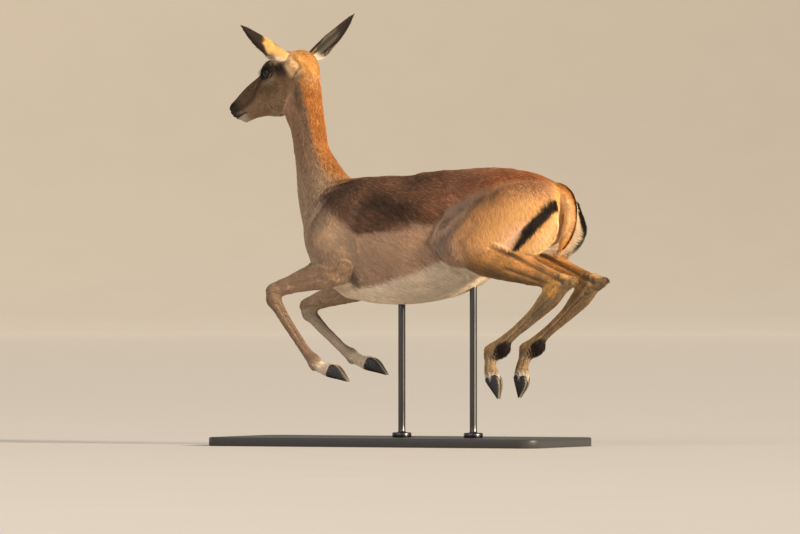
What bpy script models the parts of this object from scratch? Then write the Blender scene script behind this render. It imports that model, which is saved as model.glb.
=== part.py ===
"""Impala ewe at the top of a leap: a life-size display model on a plain stand with two rods.

The body is modelled whole, as swept forms joined into one skin, and then parted with thin cuts into
head, neck, trunk, tail, ears and the lengths of each leg. Hooves and eyes are solids of their own.
"""

import math

import bmesh
import bpy
import numpy as np
from mathutils import Matrix, Vector

# ---- driving dimensions, in metres: the head is towards -X, the left side is towards -Y ----

GAP = 0.00035  # clear gap between neighbouring solids

# Rows of a body form: x, y, z of the axis, then the radii to the side, to the plus side and to the
# minus side. The plus side is the axis direction crossed with the side direction: the back of the
# trunk, the throat of the neck, the outer face of the tail.
TRUNK = (
    (-0.257, 0.0, 0.522, 0.010, 0.012, 0.012),
    (-0.250, 0.0, 0.523, 0.038, 0.050, 0.045),
    (-0.224, 0.0, 0.525, 0.066, 0.092, 0.088),
    (-0.180, 0.0, 0.520, 0.084, 0.138, 0.120),
    (-0.130, 0.0, 0.515, 0.092, 0.162, 0.143),
    (-0.070, 0.0, 0.503, 0.099, 0.1775, 0.146),
    (0.000, 0.0, 0.493, 0.107, 0.186, 0.142),
    (0.060, 0.0, 0.490, 0.111, 0.1935, 0.134),
    (0.120, 0.0, 0.500, 0.107, 0.192, 0.130),
    (0.180, 0.0, 0.518, 0.098, 0.183, 0.121),
    (0.240, 0.0, 0.540, 0.093, 0.164, 0.100),
    (0.300, 0.0, 0.560, 0.094, 0.1435, 0.090),
    (0.360, 0.0, 0.575, 0.091, 0.1185, 0.088),
    (0.405, 0.0, 0.580, 0.078, 0.092, 0.085),
    (0.438, 0.0, 0.580, 0.048, 0.066, 0.070),
    (0.452, 0.0, 0.578, 0.012, 0.030, 0.030),
)
NECK = (
    (-0.150, 0.0, 0.530, 0.068, 0.105, 0.110),
    (-0.186, 0.0, 0.610, 0.062, 0.092, 0.084),
    (-0.212, 0.0, 0.672, 0.051, 0.076, 0.058),
    (-0.238, 0.0, 0.735, 0.042, 0.053, 0.045),
    (-0.251, 0.0, 0.795, 0.039, 0.049, 0.046),
    (-0.259, 0.0, 0.850, 0.039, 0.059, 0.046),
    (-0.262, 0.0, 0.900, 0.040, 0.048, 0.044),
    (-0.262, 0.0, 0.945, 0.034, 0.040, 0.036),
    (-0.262, 0.0, 0.965, 0.016, 0.018, 0.016),
)
TAIL = (
    (0.398, 0.000, 0.640, 0.004, 0.004, 0.004),
    (0.402, 0.000, 0.643, 0.018, 0.014, 0.016),
    (0.426, 0.000, 0.643, 0.021, 0.015, 0.018),
    (0.450, -0.004, 0.628, 0.023, 0.016, 0.019),
    (0.466, -0.010, 0.602, 0.024, 0.016, 0.019),
    (0.471, -0.016, 0.568, 0.022, 0.015, 0.018),
    (0.466, -0.020, 0.537, 0.021, 0.014, 0.016),
    (0.456, -0.023, 0.510, 0.015, 0.011, 0.012),
    (0.445, -0.025, 0.489, 0.004, 0.003, 0.003),
)

# The head has its own frame: nose tip, pitch below level, yaw to the right of the body.
NOSE = (-0.4764, 0.0283, 0.8425)
HEAD_PITCH, HEAD_YAW = 27.0, 7.0  # degrees
# Rows of the head: distance back from the nose tip, level of the widest line, half width, top, bottom.
HEAD = (
    (-0.002, -0.018, 0.0060, -0.013, -0.024),
    (0.002, -0.017, 0.0130, 0.0005, -0.034),
    (0.010, -0.014, 0.0180, 0.0135, -0.042),
    (0.021, -0.013, 0.0205, 0.0190, -0.047),
    (0.034, -0.014, 0.0215, 0.0215, -0.050),
    (0.055, -0.012, 0.0225, 0.0250, -0.053),
    (0.080, -0.010, 0.0250, 0.0295, -0.061),
    (0.105, -0.006, 0.0310, 0.0345, -0.075),
    (0.132, 0.002, 0.0390, 0.0400, -0.094),
    (0.160, 0.006, 0.0425, 0.0470, -0.103),
    (0.190, 0.004, 0.0430, 0.0530, -0.098),
    (0.220, 0.000, 0.0420, 0.0500, -0.070),
    (0.245, -0.006, 0.0380, 0.0420, -0.058),
    (0.265, -0.010, 0.0280, 0.0230, -0.044),
    (0.276, -0.012, 0.0080, 0.0020, -0.024),
)

# Joints of the legs, from the body down to the toe.
HIND_LEFT = dict(
    croup=(0.426, -0.046, 0.640), hip=(0.372, -0.070, 0.596), thigh=(0.288, -0.080, 0.546),
    stifle=(0.205, -0.092, 0.500), knee=(0.142, -0.098, 0.494),
    hock=(0.471, -0.075, 0.405), heel=(0.512, -0.074, 0.416), fetlock=(0.275, -0.062, 0.228),
    pastern=(0.272, -0.061, 0.200), coronet=(0.279, -0.060, 0.170), toe=(0.2955, -0.060, 0.120),
)
HIND_RIGHT = dict(
    croup=(0.432, 0.062, 0.628), hip=(0.385, 0.084, 0.591), thigh=(0.302, 0.086, 0.546),
    stifle=(0.214, 0.092, 0.500), knee=(0.150, 0.098, 0.494),
    hock=(0.490, 0.075, 0.405), heel=(0.533, 0.074, 0.416), fetlock=(0.317, 0.062, 0.232),
    pastern=(0.307, 0.061, 0.203), coronet=(0.3045, 0.060, 0.171), toe=(0.300, 0.060, 0.121),
)
FORE_LEFT = dict(
    withers=(-0.090, -0.030, 0.640), scapula=(-0.135, -0.068, 0.590), shoulder=(-0.194, -0.068, 0.520),
    elbow=(-0.128, -0.082, 0.443), wrist=(-0.316, -0.076, 0.387), carpus=(-0.315, -0.076, 0.374),
    fetlock=(-0.202, -0.070, 0.206), pastern=(-0.180, -0.069, 0.194), coronet=(-0.156, -0.068, 0.188),
    toe=(-0.111, -0.067, 0.162),
)
FORE_RIGHT = dict(
    withers=(-0.090, 0.030, 0.640), scapula=(-0.135, 0.068, 0.590), shoulder=(-0.194, 0.068, 0.520),
    elbow=(-0.113, 0.084, 0.414), wrist=(-0.296, 0.084, 0.349), carpus=(-0.291, 0.084, 0.338),
    fetlock=(-0.146, 0.034, 0.2225), pastern=(-0.120, 0.032, 0.211), coronet=(-0.097, 0.032, 0.205),
    toe=(-0.049, 0.032, 0.178),
)

# Forms along chains of leg joints. Each row holds its share of the chain (1.25 is a quarter past the
# second joint), the shift of the axis to the plus side, and the side, plus and minus radii.
HIND_FORMS = dict(
    thigh=(("croup", "hip", "thigh", "stifle", "knee"), (
        (0.00, 0.000, 0.018, 0.036, 0.020),
        (0.35, 0.000, 0.034, 0.078, 0.042),
        (1.00, 0.000, 0.045, 0.118, 0.074),
        (2.00, 0.000, 0.046, 0.108, 0.082),
        (3.00, 0.000, 0.036, 0.066, 0.066),
        (3.70, 0.000, 0.024, 0.040, 0.042),
        (4.00, 0.000, 0.008, 0.012, 0.014),
    )),
    gaskin=(("stifle", "hock", "heel"), (
        (-0.12, 0.000, 0.016, 0.020, 0.022),
        (0.00, 0.000, 0.034, 0.046, 0.050),
        (0.22, 0.002, 0.037, 0.050, 0.058),
        (0.45, 0.002, 0.032, 0.046, 0.050),
        (0.66, 0.002, 0.024, 0.037, 0.039),
        (0.84, 0.003, 0.020, 0.029, 0.029),
        (1.00, 0.004, 0.018, 0.022, 0.024),
        (1.50, 0.001, 0.014, 0.017, 0.018),
        (1.95, 0.000, 0.011, 0.011, 0.012),
        (2.06, 0.000, 0.004, 0.004, 0.004),
    )),
    cannon=(("heel", "hock", "fetlock"), (
        (0.10, 0.000, 0.010, 0.012, 0.010),
        (0.60, 0.000, 0.016, 0.022, 0.022),
        (1.00, 0.000, 0.0190, 0.026, 0.028),
        (1.18, 0.003, 0.0180, 0.0280, 0.0270),
        (1.38, 0.006, 0.0145, 0.0200, 0.0200),
        (1.52, 0.0045, 0.0130, 0.0172, 0.0172),
        (1.67, 0.0015, 0.0130, 0.0152, 0.0152),
        (1.85, 0.000, 0.0145, 0.0170, 0.0195),
        (1.95, 0.000, 0.0165, 0.0190, 0.0265),
        (2.00, 0.000, 0.0165, 0.0190, 0.0265),
        (2.05, 0.000, 0.0120, 0.0140, 0.0140),
    )),
)
FORE_FORMS = dict(
    blade=(("withers", "scapula", "shoulder"), (
        (0.00, 0.000, 0.020, 0.030, 0.030),
        (0.50, 0.000, 0.026, 0.050, 0.045),
        (1.00, 0.000, 0.028, 0.060, 0.045),
        (1.60, 0.000, 0.030, 0.052, 0.044),
        (2.00, 0.000, 0.028, 0.040, 0.038),
        (2.25, 0.000, 0.014, 0.018, 0.020),
    )),
    upper_arm=(("shoulder", "elbow"), (
        (-0.28, 0.000, 0.012, 0.018, 0.018),
        (0.00, 0.000, 0.030, 0.042, 0.040),
        (0.45, 0.000, 0.032, 0.058, 0.046),
        (0.90, 0.000, 0.028, 0.046, 0.046),
        (1.16, 0.000, 0.018, 0.026, 0.030),
    )),
    forearm=(("elbow", "wrist"), (
        (-0.20, 0.000, 0.010, 0.014, 0.016),
        (-0.05, 0.000, 0.026, 0.040, 0.042),
        (0.25, 0.000, 0.028, 0.040, 0.042),
        (0.50, 0.000, 0.024, 0.031, 0.034),
        (0.75, 0.000, 0.0195, 0.023, 0.026),
        (0.90, 0.000, 0.0185, 0.021, 0.022),
        (1.00, 0.000, 0.0185, 0.021, 0.020),
        (1.08, 0.000, 0.0100, 0.012, 0.012),
    )),
    cannon=(("wrist", "carpus", "fetlock"), (
        (0.00, 0.000, 0.0100, 0.012, 0.010),
        (0.80, 0.000, 0.0180, 0.020, 0.019),
        (1.06, -0.002, 0.0185, 0.0190, 0.0220),
        (1.15, -0.003, 0.0160, 0.0165, 0.0175),
        (1.35, -0.005, 0.0130, 0.0150, 0.0150),
        (1.60, -0.004, 0.0120, 0.0142, 0.0142),
        (1.80, -0.003, 0.0125, 0.0140, 0.0140),
        (1.93, 0.000, 0.0150, 0.0175, 0.0165),
        (2.00, 0.000, 0.0160, 0.0185, 0.0180),
        (2.07, 0.000, 0.0100, 0.0120, 0.0120),
    )),
)
FOOT_FORM = (
    (-0.10, 0.000, 0.010, 0.012, 0.012),
    (0.00, 0.000, 0.0165, 0.0185, 0.0205),
    (0.50, 0.000, 0.0155, 0.0165, 0.0160),
    (1.00, 0.000, 0.0160, 0.0160, 0.0160),
    (1.60, 0.000, 0.0195, 0.0195, 0.0195),
    (2.00, 0.000, 0.0205, 0.0200, 0.0195),
    (2.16, 0.000, 0.0190, 0.0180, 0.0175),
)
FOOT_JOINTS = ("fetlock", "pastern", "coronet", "toe")
HEAD_POWERS = (2.3, 2.0)
# Swellings of the head, mirrored: back, right, up of the middle, then the radii along those ways.
HEAD_BALLS = (
    (0.166, 0.024, 0.034, 0.032, 0.0170, 0.023),
    (0.160, 0.022, -0.036, 0.048, 0.017, 0.040),
    (0.236, 0.038, 0.018, 0.020, 0.018, 0.022),
)
# The tuft of dark hair behind each hind fetlock: share of the cannon, shift back, radii across the leg,
# front to back and along.
TUFT_PLACE, TUFT_RADII = (0.87, 0.012), (0.013, 0.017, 0.027)


# ---- the swept forms ----

AROUND = 28  # points round each form
PER_SPAN = 5  # rings from one row of a form to the next
VOXEL = 0.0050
SIDEWAYS = np.array((0.0, 1.0, 0.0))


def spline(rows, per_span):
    """Catmull-Rom curve through the rows: every column is carried smoothly from row to row."""
    rows = np.asarray(rows, float)
    ends = np.vstack((2 * rows[0] - rows[1], rows, 2 * rows[-1] - rows[-2]))
    share = np.arange(per_span)[:, None] / per_span
    spans = []
    for a, b, c, d in zip(ends, ends[1:], ends[2:], ends[3:]):
        spans.append(0.5 * (2 * b + (c - a) * share + (2 * a - 5 * b + 4 * c - d) * share**2
                            + (3 * b - a - 3 * c + d) * share**3))
    return np.vstack((*spans, rows[-1:]))


def along(joints, share):
    """The point at a share along a chain of joints: 1.25 is a quarter past the second joint."""
    bone = int(np.clip(np.floor(share), 0, len(joints) - 2))
    return joints[bone] + (share - bone) * (joints[bone + 1] - joints[bone])


def limb_rows(leg, names, form):
    """The rows of a form laid along a leg's joints."""
    joints = [np.array(leg[name]) for name in names]
    form = np.array(form)
    centres = np.array([along(joints, share) for share in form[:, 0]])
    plus = np.cross(np.gradient(centres, axis=0), SIDEWAYS)
    plus /= np.linalg.norm(plus, axis=1)[:, None]
    return np.hstack((centres + plus * form[:, 1:2], form[:, 2:]))


def head_turn():
    """Turns the head's own axes (back, right, up) to the body's."""
    return (Matrix.Rotation(math.radians(-HEAD_YAW), 3, "Z")
            @ Matrix.Rotation(math.radians(-HEAD_PITCH), 3, "Y"))


def head_point(back, right, up):
    """A point given in the head's own frame, back from the nose tip."""
    return Vector(NOSE) + head_turn() @ Vector((back, right, up))


def section(side, plus, minus, powers, around):
    """One ring of a form: a superellipse with its own depth and squareness above and below."""
    turn = np.linspace(0, 2 * math.pi, around, endpoint=False)
    across, rise = np.cos(turn), np.sin(turn)
    power = 2 / np.where(rise > 0, *powers)
    depth = np.where(rise > 0, plus, minus)
    return side * np.sign(across) * np.abs(across) ** power, depth * np.sign(rise) * np.abs(rise) ** power


def add_form(bm, rows, powers=(2.0, 2.0), around=AROUND, per_span=PER_SPAN):
    """Sweeps the sections of a form along its axis and closes both ends."""
    rows = spline(rows, per_span)
    tangents = np.gradient(rows[:, :3], axis=0)
    tangents /= np.linalg.norm(tangents, axis=1)[:, None]
    rings = []
    for row, tangent in zip(rows, tangents):
        side = SIDEWAYS - tangent * (SIDEWAYS @ tangent)
        side /= np.linalg.norm(side)
        plus = np.cross(tangent, side)
        across, rise = section(*np.maximum(row[3:6], 0.0005), powers, around)
        points = row[:3] + np.outer(across, side) + np.outer(rise, plus)
        rings.append([bm.verts.new(point) for point in points])
    for ring, after in zip(rings, rings[1:]):
        for i in range(around):
            j = (i + 1) % around
            bm.faces.new((ring[i], after[i], after[j], ring[j]))
    bm.faces.new(rings[0])
    bm.faces.new(rings[-1][::-1])


def add_ball(bm, centre, radii, turn=None, around=12, rings=8):
    """An ellipsoid, for a cheek, a brow, an eye or the ball of a joint."""
    matrix = Matrix.Translation(centre) @ (turn or Matrix.Identity(3)).to_4x4() @ Matrix.Diagonal((*radii, 1))
    bmesh.ops.create_uvsphere(bm, u_segments=around, v_segments=rings, radius=1, matrix=matrix)


def add_head(bm):
    """The head as one form with a high and a low line of its own, then cheeks, brows and ear roots."""
    turn = np.array(head_turn())
    rows = np.array(HEAD)
    local = np.zeros((len(rows), 3))
    local[:, 0], local[:, 2] = rows[:, 0], rows[:, 1]
    axis = np.array(NOSE) + local @ turn.T
    sizes = np.column_stack((rows[:, 2], rows[:, 3] - rows[:, 1], rows[:, 1] - rows[:, 4]))
    add_form(bm, np.hstack((axis, sizes)), HEAD_POWERS)
    for side in (-1, 1):
        for back, right, up, *radii in HEAD_BALLS:
            add_ball(bm, head_point(back, side * right, up), radii, head_turn())


def new_object(name, bm):
    mesh = bpy.data.meshes.new(name)
    bm.to_mesh(mesh)
    bm.free()
    obj = bpy.data.objects.new(name, mesh)
    bpy.context.scene.collection.objects.link(obj)
    return obj


def flesh():
    """Every swept form of the body in one mesh, still overlapping."""
    bm = bmesh.new()
    add_form(bm, TRUNK, (2.0, 2.2))
    add_form(bm, NECK)
    add_head(bm)
    for leg in (HIND_LEFT, HIND_RIGHT):
        for names, form in (*HIND_FORMS.values(), (FOOT_JOINTS, FOOT_FORM)):
            add_form(bm, limb_rows(leg, names, form))
        hock, fetlock = Vector(leg["hock"]), Vector(leg["fetlock"])
        down = (fetlock - hock).normalized()
        side = (Vector(SIDEWAYS) - down * down.y).normalized()
        rear = down.cross(side)
        turn = Matrix((side, rear, down)).transposed()
        share, back = TUFT_PLACE
        add_ball(bm, hock.lerp(fetlock, share) + rear * back, TUFT_RADII, turn)
    for leg in (FORE_LEFT, FORE_RIGHT):
        for names, form in (*FORE_FORMS.values(), (FOOT_JOINTS, FOOT_FORM)):
            add_form(bm, limb_rows(leg, names, form))
    return new_object("flesh", bm)


# ---- solids beside the flesh: ears, eyes, claws, stand ----

EAR_ROOT = (0.2326, 0.045, 0.0274)  # back, right, up in the head's frame
EAR_HALF_WIDTH, EAR_WALL, EAR_BOW = 0.0245, 0.0034, 0.008  # the bow is how far its middle sags
# The way of each ear from root to tip, and the way its cup opens.
EAR_LEFT = ((-0.0785, -0.112, 0.079), (-0.859, 0.483, -0.17))
EAR_RIGHT = ((0.093, 0.079, 0.1115), (0.793, -0.542, -0.276))
EAR_SHARES = (-0.14, -0.05, 0.05, 0.15, 0.27, 0.40, 0.53, 0.66, 0.78, 0.88, 0.95, 1.0)
EYE_CENTRE, EYE_RADIUS = (0.158, 0.0325, 0.0224), 0.0165
CLAW_SPREAD = 0.0100  # from the middle of the foot to the middle of each claw
# Rows of a claw: share from coronet to tip, half width, reach to the sole, reach to the front wall.
CLAW = (
    (-0.16, 0.0050, 0.0090, 0.0090),
    (-0.12, 0.0078, 0.0140, 0.0130),
    (0.00, 0.0088, 0.0180, 0.0165),
    (0.25, 0.0092, 0.0190, 0.0135),
    (0.50, 0.0082, 0.0150, 0.0092),
    (0.75, 0.0060, 0.0080, 0.0052),
    (0.95, 0.0030, 0.0024, 0.0022),
    (1.00, 0.0014, 0.0010, 0.0010),
)
BASE_SIZE, BASE_CORNER, BASE_EDGE = (0.90, 0.40, 0.022), 0.045, 0.004
ROD_RADIUS, COLLAR_RADIUS, COLLAR_HEIGHT = 0.009, 0.024, 0.012
RODS = {"stand_rod_front": (0.005, 0.366), "stand_rod_rear": (0.200, 0.416)}  # x, and height of the end


def rings_to_skin(bm, rings):
    """Joins closed rings of points one after another and closes both ends."""
    made = [[bm.verts.new(point) for point in ring] for ring in rings]
    count = len(made[0])
    for ring, after in zip(made, made[1:]):
        for i in range(count):
            j = (i + 1) % count
            bm.faces.new((ring[i], ring[j], after[j], after[i]))
    bm.faces.new(made[0][::-1])
    bm.faces.new(made[-1])
    bmesh.ops.recalc_face_normals(bm, faces=bm.faces[:])


def swollen(bm, grow):
    """Moves every corner outward, so that a pocket cut with this shape clears the shape itself."""
    bm.normal_update()
    for vert in bm.verts:
        vert.co += vert.normal * (1.4 * grow)


def ear_ring(share, root, axis, across, cup):
    """One ring of an ear: the outer face and the inner face of its curled wall.

    The half width rises as a sine to the middle and falls away to the tip, and the curl turns from
    a tube at the root to a shallow trough.
    """
    s = max(share, 0.0)
    swell = 0.42 + 0.58 * math.sin(0.5 * math.pi * min(1.0, s / 0.42))
    half = max(EAR_HALF_WIDTH * swell * (1 - s**2.6) ** 0.8, 0.0016)
    curl = math.radians(150 - 88 * min(1.0, s / 0.42))
    radius = half / math.sin(min(curl, math.pi / 2))
    wall = EAR_WALL * (1 - 0.5 * s) / 2
    middle = root + axis * share + across * (EAR_BOW * math.sin(math.pi * s))
    turns = [curl * (i / 3 - 1) for i in range(7)]
    outer = [(radius + wall, turn) for turn in turns]
    inner = [(max(radius - wall, 0.0004), turn) for turn in reversed(turns)]
    return [middle + across * (reach * math.sin(turn)) - cup * (reach * math.cos(turn) - 0.6 * radius)
            for reach, turn in outer + inner]


def ear(side, way, opening, grow=0.0):
    """A cupped leaf with a pointed tip, rooted in the crown."""
    axis = Vector(way)
    across = axis.cross(Vector(opening)).normalized()
    cup = across.cross(axis).normalized()
    back, right, up = EAR_ROOT
    root = head_point(back, side * right, up)
    bm = bmesh.new()
    rings_to_skin(bm, [ear_ring(share, root, axis, across, cup) for share in EAR_SHARES])
    swollen(bm, grow)
    return new_object("ear", bm)


def eye(side, grow=0.0):
    back, right, up = EYE_CENTRE
    bm = bmesh.new()
    add_ball(bm, head_point(back, side * right, up), (EYE_RADIUS + grow,) * 3)
    return new_object("eye", bm)


def claw(leg, side, grow=0.0):
    """One claw of a foot: a wedge with a straight front wall, a flat inner face and a round outer one."""
    start, tip = Vector(leg["coronet"]), Vector(leg["toe"])
    axis = tip - start
    way = axis.normalized()
    across = Vector((0, 1, 0))
    across = (across - way * across.dot(way)).normalized() * side
    sole = way.cross(Vector((0, 1, 0))).normalized()
    rings = []
    for share, half, to_sole, to_front in CLAW:
        middle = start + axis * share
        middle += across * CLAW_SPREAD * (1 - 0.35 * max(share, 0.0))
        ring = []
        for i in range(8):
            turn = 2 * math.pi * i / 8
            out = math.cos(turn) * (half if math.cos(turn) > 0 else 0.80 * half)
            rise = math.sin(turn) * (to_sole if math.sin(turn) > 0 else to_front)
            ring.append(middle + across * out + sole * rise)
        rings.append(ring)
    bm = bmesh.new()
    rings_to_skin(bm, rings)
    swollen(bm, grow)
    return new_object("claw", bm)


def tail(grow=0.0):
    bm = bmesh.new()
    add_form(bm, TAIL, around=10, per_span=2)
    bmesh.ops.recalc_face_normals(bm, faces=bm.faces[:])
    swollen(bm, grow)
    return new_object("tail", bm)


def rod(x, top, grow=0.0):
    """A round rod with a collar at its foot."""
    foot = BASE_SIZE[2] + GAP
    collar = foot + COLLAR_HEIGHT
    profile = ((COLLAR_RADIUS, foot), (COLLAR_RADIUS, collar - 0.003), (COLLAR_RADIUS - 0.003, collar),
               (ROD_RADIUS, collar), (ROD_RADIUS, top))
    bm = bmesh.new()
    turns = [2 * math.pi * i / 16 for i in range(16)]
    rings_to_skin(bm, [[Vector((x + r * math.cos(turn), r * math.sin(turn), z)) for turn in turns]
                       for r, z in profile])
    swollen(bm, grow)
    return new_object("rod", bm)


def stand_base():
    """A flat plate with round corners and a small chamfer round its top."""
    length, width, height = BASE_SIZE
    rings = []
    for inset, z in ((0.0, 0.0), (0.0, height - BASE_EDGE), (BASE_EDGE, height)):
        ring = []
        for i in range(24):
            turn = 2 * math.pi * (i + 0.5) / 24
            across, along_y = math.cos(turn), math.sin(turn)
            ring.append(Vector((
                math.copysign(length / 2 - BASE_CORNER, across) + across * (BASE_CORNER - inset),
                math.copysign(width / 2 - BASE_CORNER, along_y) + along_y * (BASE_CORNER - inset), z)))
        rings.append(ring)
    bm = bmesh.new()
    rings_to_skin(bm, rings)
    return new_object("stand_base", bm)


# ---- one skin, and its parting ----

# Places where two forms meet and the skin is drawn smooth: x, y, z, reach, passes.
BLENDS = (
    (-0.20, 0.0, 0.62, 0.150, 14), (-0.16, 0.0, 0.50, 0.170, 10),
    (-0.255, 0.0, 0.880, 0.050, 8), (-0.262, 0.0, 0.955, 0.045, 6),
    (0.34, -0.07, 0.57, 0.170, 12), (0.36, 0.07, 0.57, 0.170, 12),
    (0.17, -0.09, 0.49, 0.080, 10), (0.17, 0.09, 0.49, 0.080, 10),
    (0.47, -0.075, 0.405, 0.045, 4), (0.49, 0.075, 0.405, 0.045, 4),
)
FLESH_FACES = 2400


def apply_modifiers(obj):
    """Replaces the mesh of an object with what its modifiers make of it."""
    graph = bpy.context.evaluated_depsgraph_get()
    mesh = bpy.data.meshes.new_from_object(obj.evaluated_get(graph))
    obj.modifiers.clear()
    obj.data = mesh


def ease(bm, verts, passes):
    """Moves each vertex halfway to the middle of its neighbours, again and again."""
    for _ in range(passes):
        bmesh.ops.smooth_vert(bm, verts=verts, factor=0.5, use_axis_x=True, use_axis_y=True, use_axis_z=True)


def drawn_smooth(obj):
    """Fuses the forms, then eases the skin: a little everywhere and more where two forms meet."""
    remesh = obj.modifiers.new("one_skin", "REMESH")
    remesh.mode = "VOXEL"
    remesh.voxel_size = VOXEL
    apply_modifiers(obj)
    bm = bmesh.new()
    bm.from_mesh(obj.data)
    ease(bm, bm.verts[:], 2)
    for x, y, z, reach, passes in BLENDS:
        centre = Vector((x, y, z))
        ease(bm, [v for v in bm.verts if (v.co - centre).length < reach], passes)
    bm.to_mesh(obj.data)
    bm.free()
    decimate = obj.modifiers.new("fewer_faces", "DECIMATE")
    decimate.ratio = FLESH_FACES / sum(len(p.vertices) - 2 for p in obj.data.polygons)
    apply_modifiers(obj)


# ---- thin cuts: a disc across a neck or a leg, and a bowl under a thigh or a shoulder ----

# Where a disc cuts: middle, the way through it, and its radius.
DISCS = {
    "neck_top": ((-0.270, 0.004, 0.876), (-0.55, 0.0, 0.83), 0.090),
    "neck_foot": ((-0.205, 0.0, 0.645), (-0.42, 0.0, 0.91), 0.125),
}
# Bowls: middle, radii along the three ways, and the turn about the side way in degrees.
BOWLS = {
    "thigh_left": ((0.305, -0.136, 0.540), (0.200, 0.112, 0.150), 14.0),
    "thigh_right": ((0.322, 0.134, 0.538), (0.204, 0.112, 0.155), 14.0),
    "shoulder_left": ((-0.158, -0.122, 0.492), (0.108, 0.104, 0.182), -14.0),
    "shoulder_right": ((-0.150, 0.124, 0.486), (0.106, 0.104, 0.180), -14.0),
}


SMALLEST = 2e-6  # cubic metres: a shaving of the cuts below this is thrown away


def slab(middle, way, radius):
    """A disc as thick as the gap."""
    bm = bmesh.new()
    matrix = Matrix.Translation(middle) @ Vector(way).to_track_quat("Z", "Y").to_matrix().to_4x4()
    bmesh.ops.create_cone(bm, cap_ends=True, segments=32, radius1=radius, radius2=radius, depth=GAP,
                          matrix=matrix)
    return new_object("slab", bm)


def bowl(middle, radii, turn):
    """A closed egg shell as thick as the gap."""
    bm = bmesh.new()
    tilt = Matrix.Rotation(math.radians(turn), 3, "Y")
    add_ball(bm, middle, [r + GAP / 2 for r in radii], tilt, around=12, rings=9)
    outer = set(bm.faces)
    add_ball(bm, middle, [r - GAP / 2 for r in radii], tilt, around=12, rings=9)
    bmesh.ops.reverse_faces(bm, faces=[f for f in bm.faces if f not in outer])
    return new_object("bowl", bm)


def carve(obj, cutter):
    """Takes the cutter out of the object for good."""
    cut = obj.modifiers.new("cut", "BOOLEAN")
    cut.operation = "DIFFERENCE"
    cut.solver = "EXACT"
    cut.object = cutter
    apply_modifiers(obj)
    bpy.data.objects.remove(cutter)


def bisector(before, joint, after):
    """The way square to the cut that halves the angle at a joint."""
    before, joint, after = (Vector(p) for p in (before, joint, after))
    return (joint - before).normalized() + (after - joint).normalized()


def loose_parts(obj):
    """Splits an object into its separate closed bodies, largest first."""
    bm = bmesh.new()
    bm.from_mesh(obj.data)
    bm.verts.ensure_lookup_table()
    left, parts = set(bm.verts), []
    while left:
        front = [left.pop()]
        found = set(front)
        while front:
            vert = front.pop()
            for edge in vert.link_edges:
                other = edge.other_vert(vert)
                if other in left:
                    left.discard(other)
                    found.add(other)
                    front.append(other)
        parts.append(found)
    meshes = []
    for part in sorted(parts, key=len, reverse=True):
        faces = {f for v in part for f in v.link_faces}
        index = {v: i for i, v in enumerate(part)}
        meshes.append(([v.co.copy() for v in part], [[index[v] for v in f.verts] for f in faces]))
    bm.free()
    return meshes


def between(leg, a, b, share=0.5):
    return Vector(leg[a]).lerp(Vector(leg[b]), share)


# ---- materials, one for each solid ----

TAN, BROWN, CREAM, GREY = (0.42, 0.25, 0.13), (0.20, 0.09, 0.045), (0.72, 0.62, 0.48), (0.30, 0.23, 0.16)
BLACK, DARK_EYE, STAND = (0.020, 0.018, 0.020), (0.012, 0.008, 0.006), (0.055, 0.055, 0.060)


def material(name, colour, rough=0.85, metal=0.0):
    made = bpy.data.materials.new(name)
    made.use_nodes = True
    shader = made.node_tree.nodes["Principled BSDF"]
    shader.inputs["Base Color"].default_value = (*colour, 1.0)
    shader.inputs["Roughness"].default_value = rough
    shader.inputs["Metallic"].default_value = metal
    return made


def finish(obj, name, colour, rough=0.85, metal=0.0, smooth=True):
    obj.name = obj.data.name = name
    obj.data.materials.clear()
    obj.data.materials.append(material("mat_" + name, colour, rough, metal))
    for face in obj.data.polygons:
        face.use_smooth = smooth
    return obj


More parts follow.
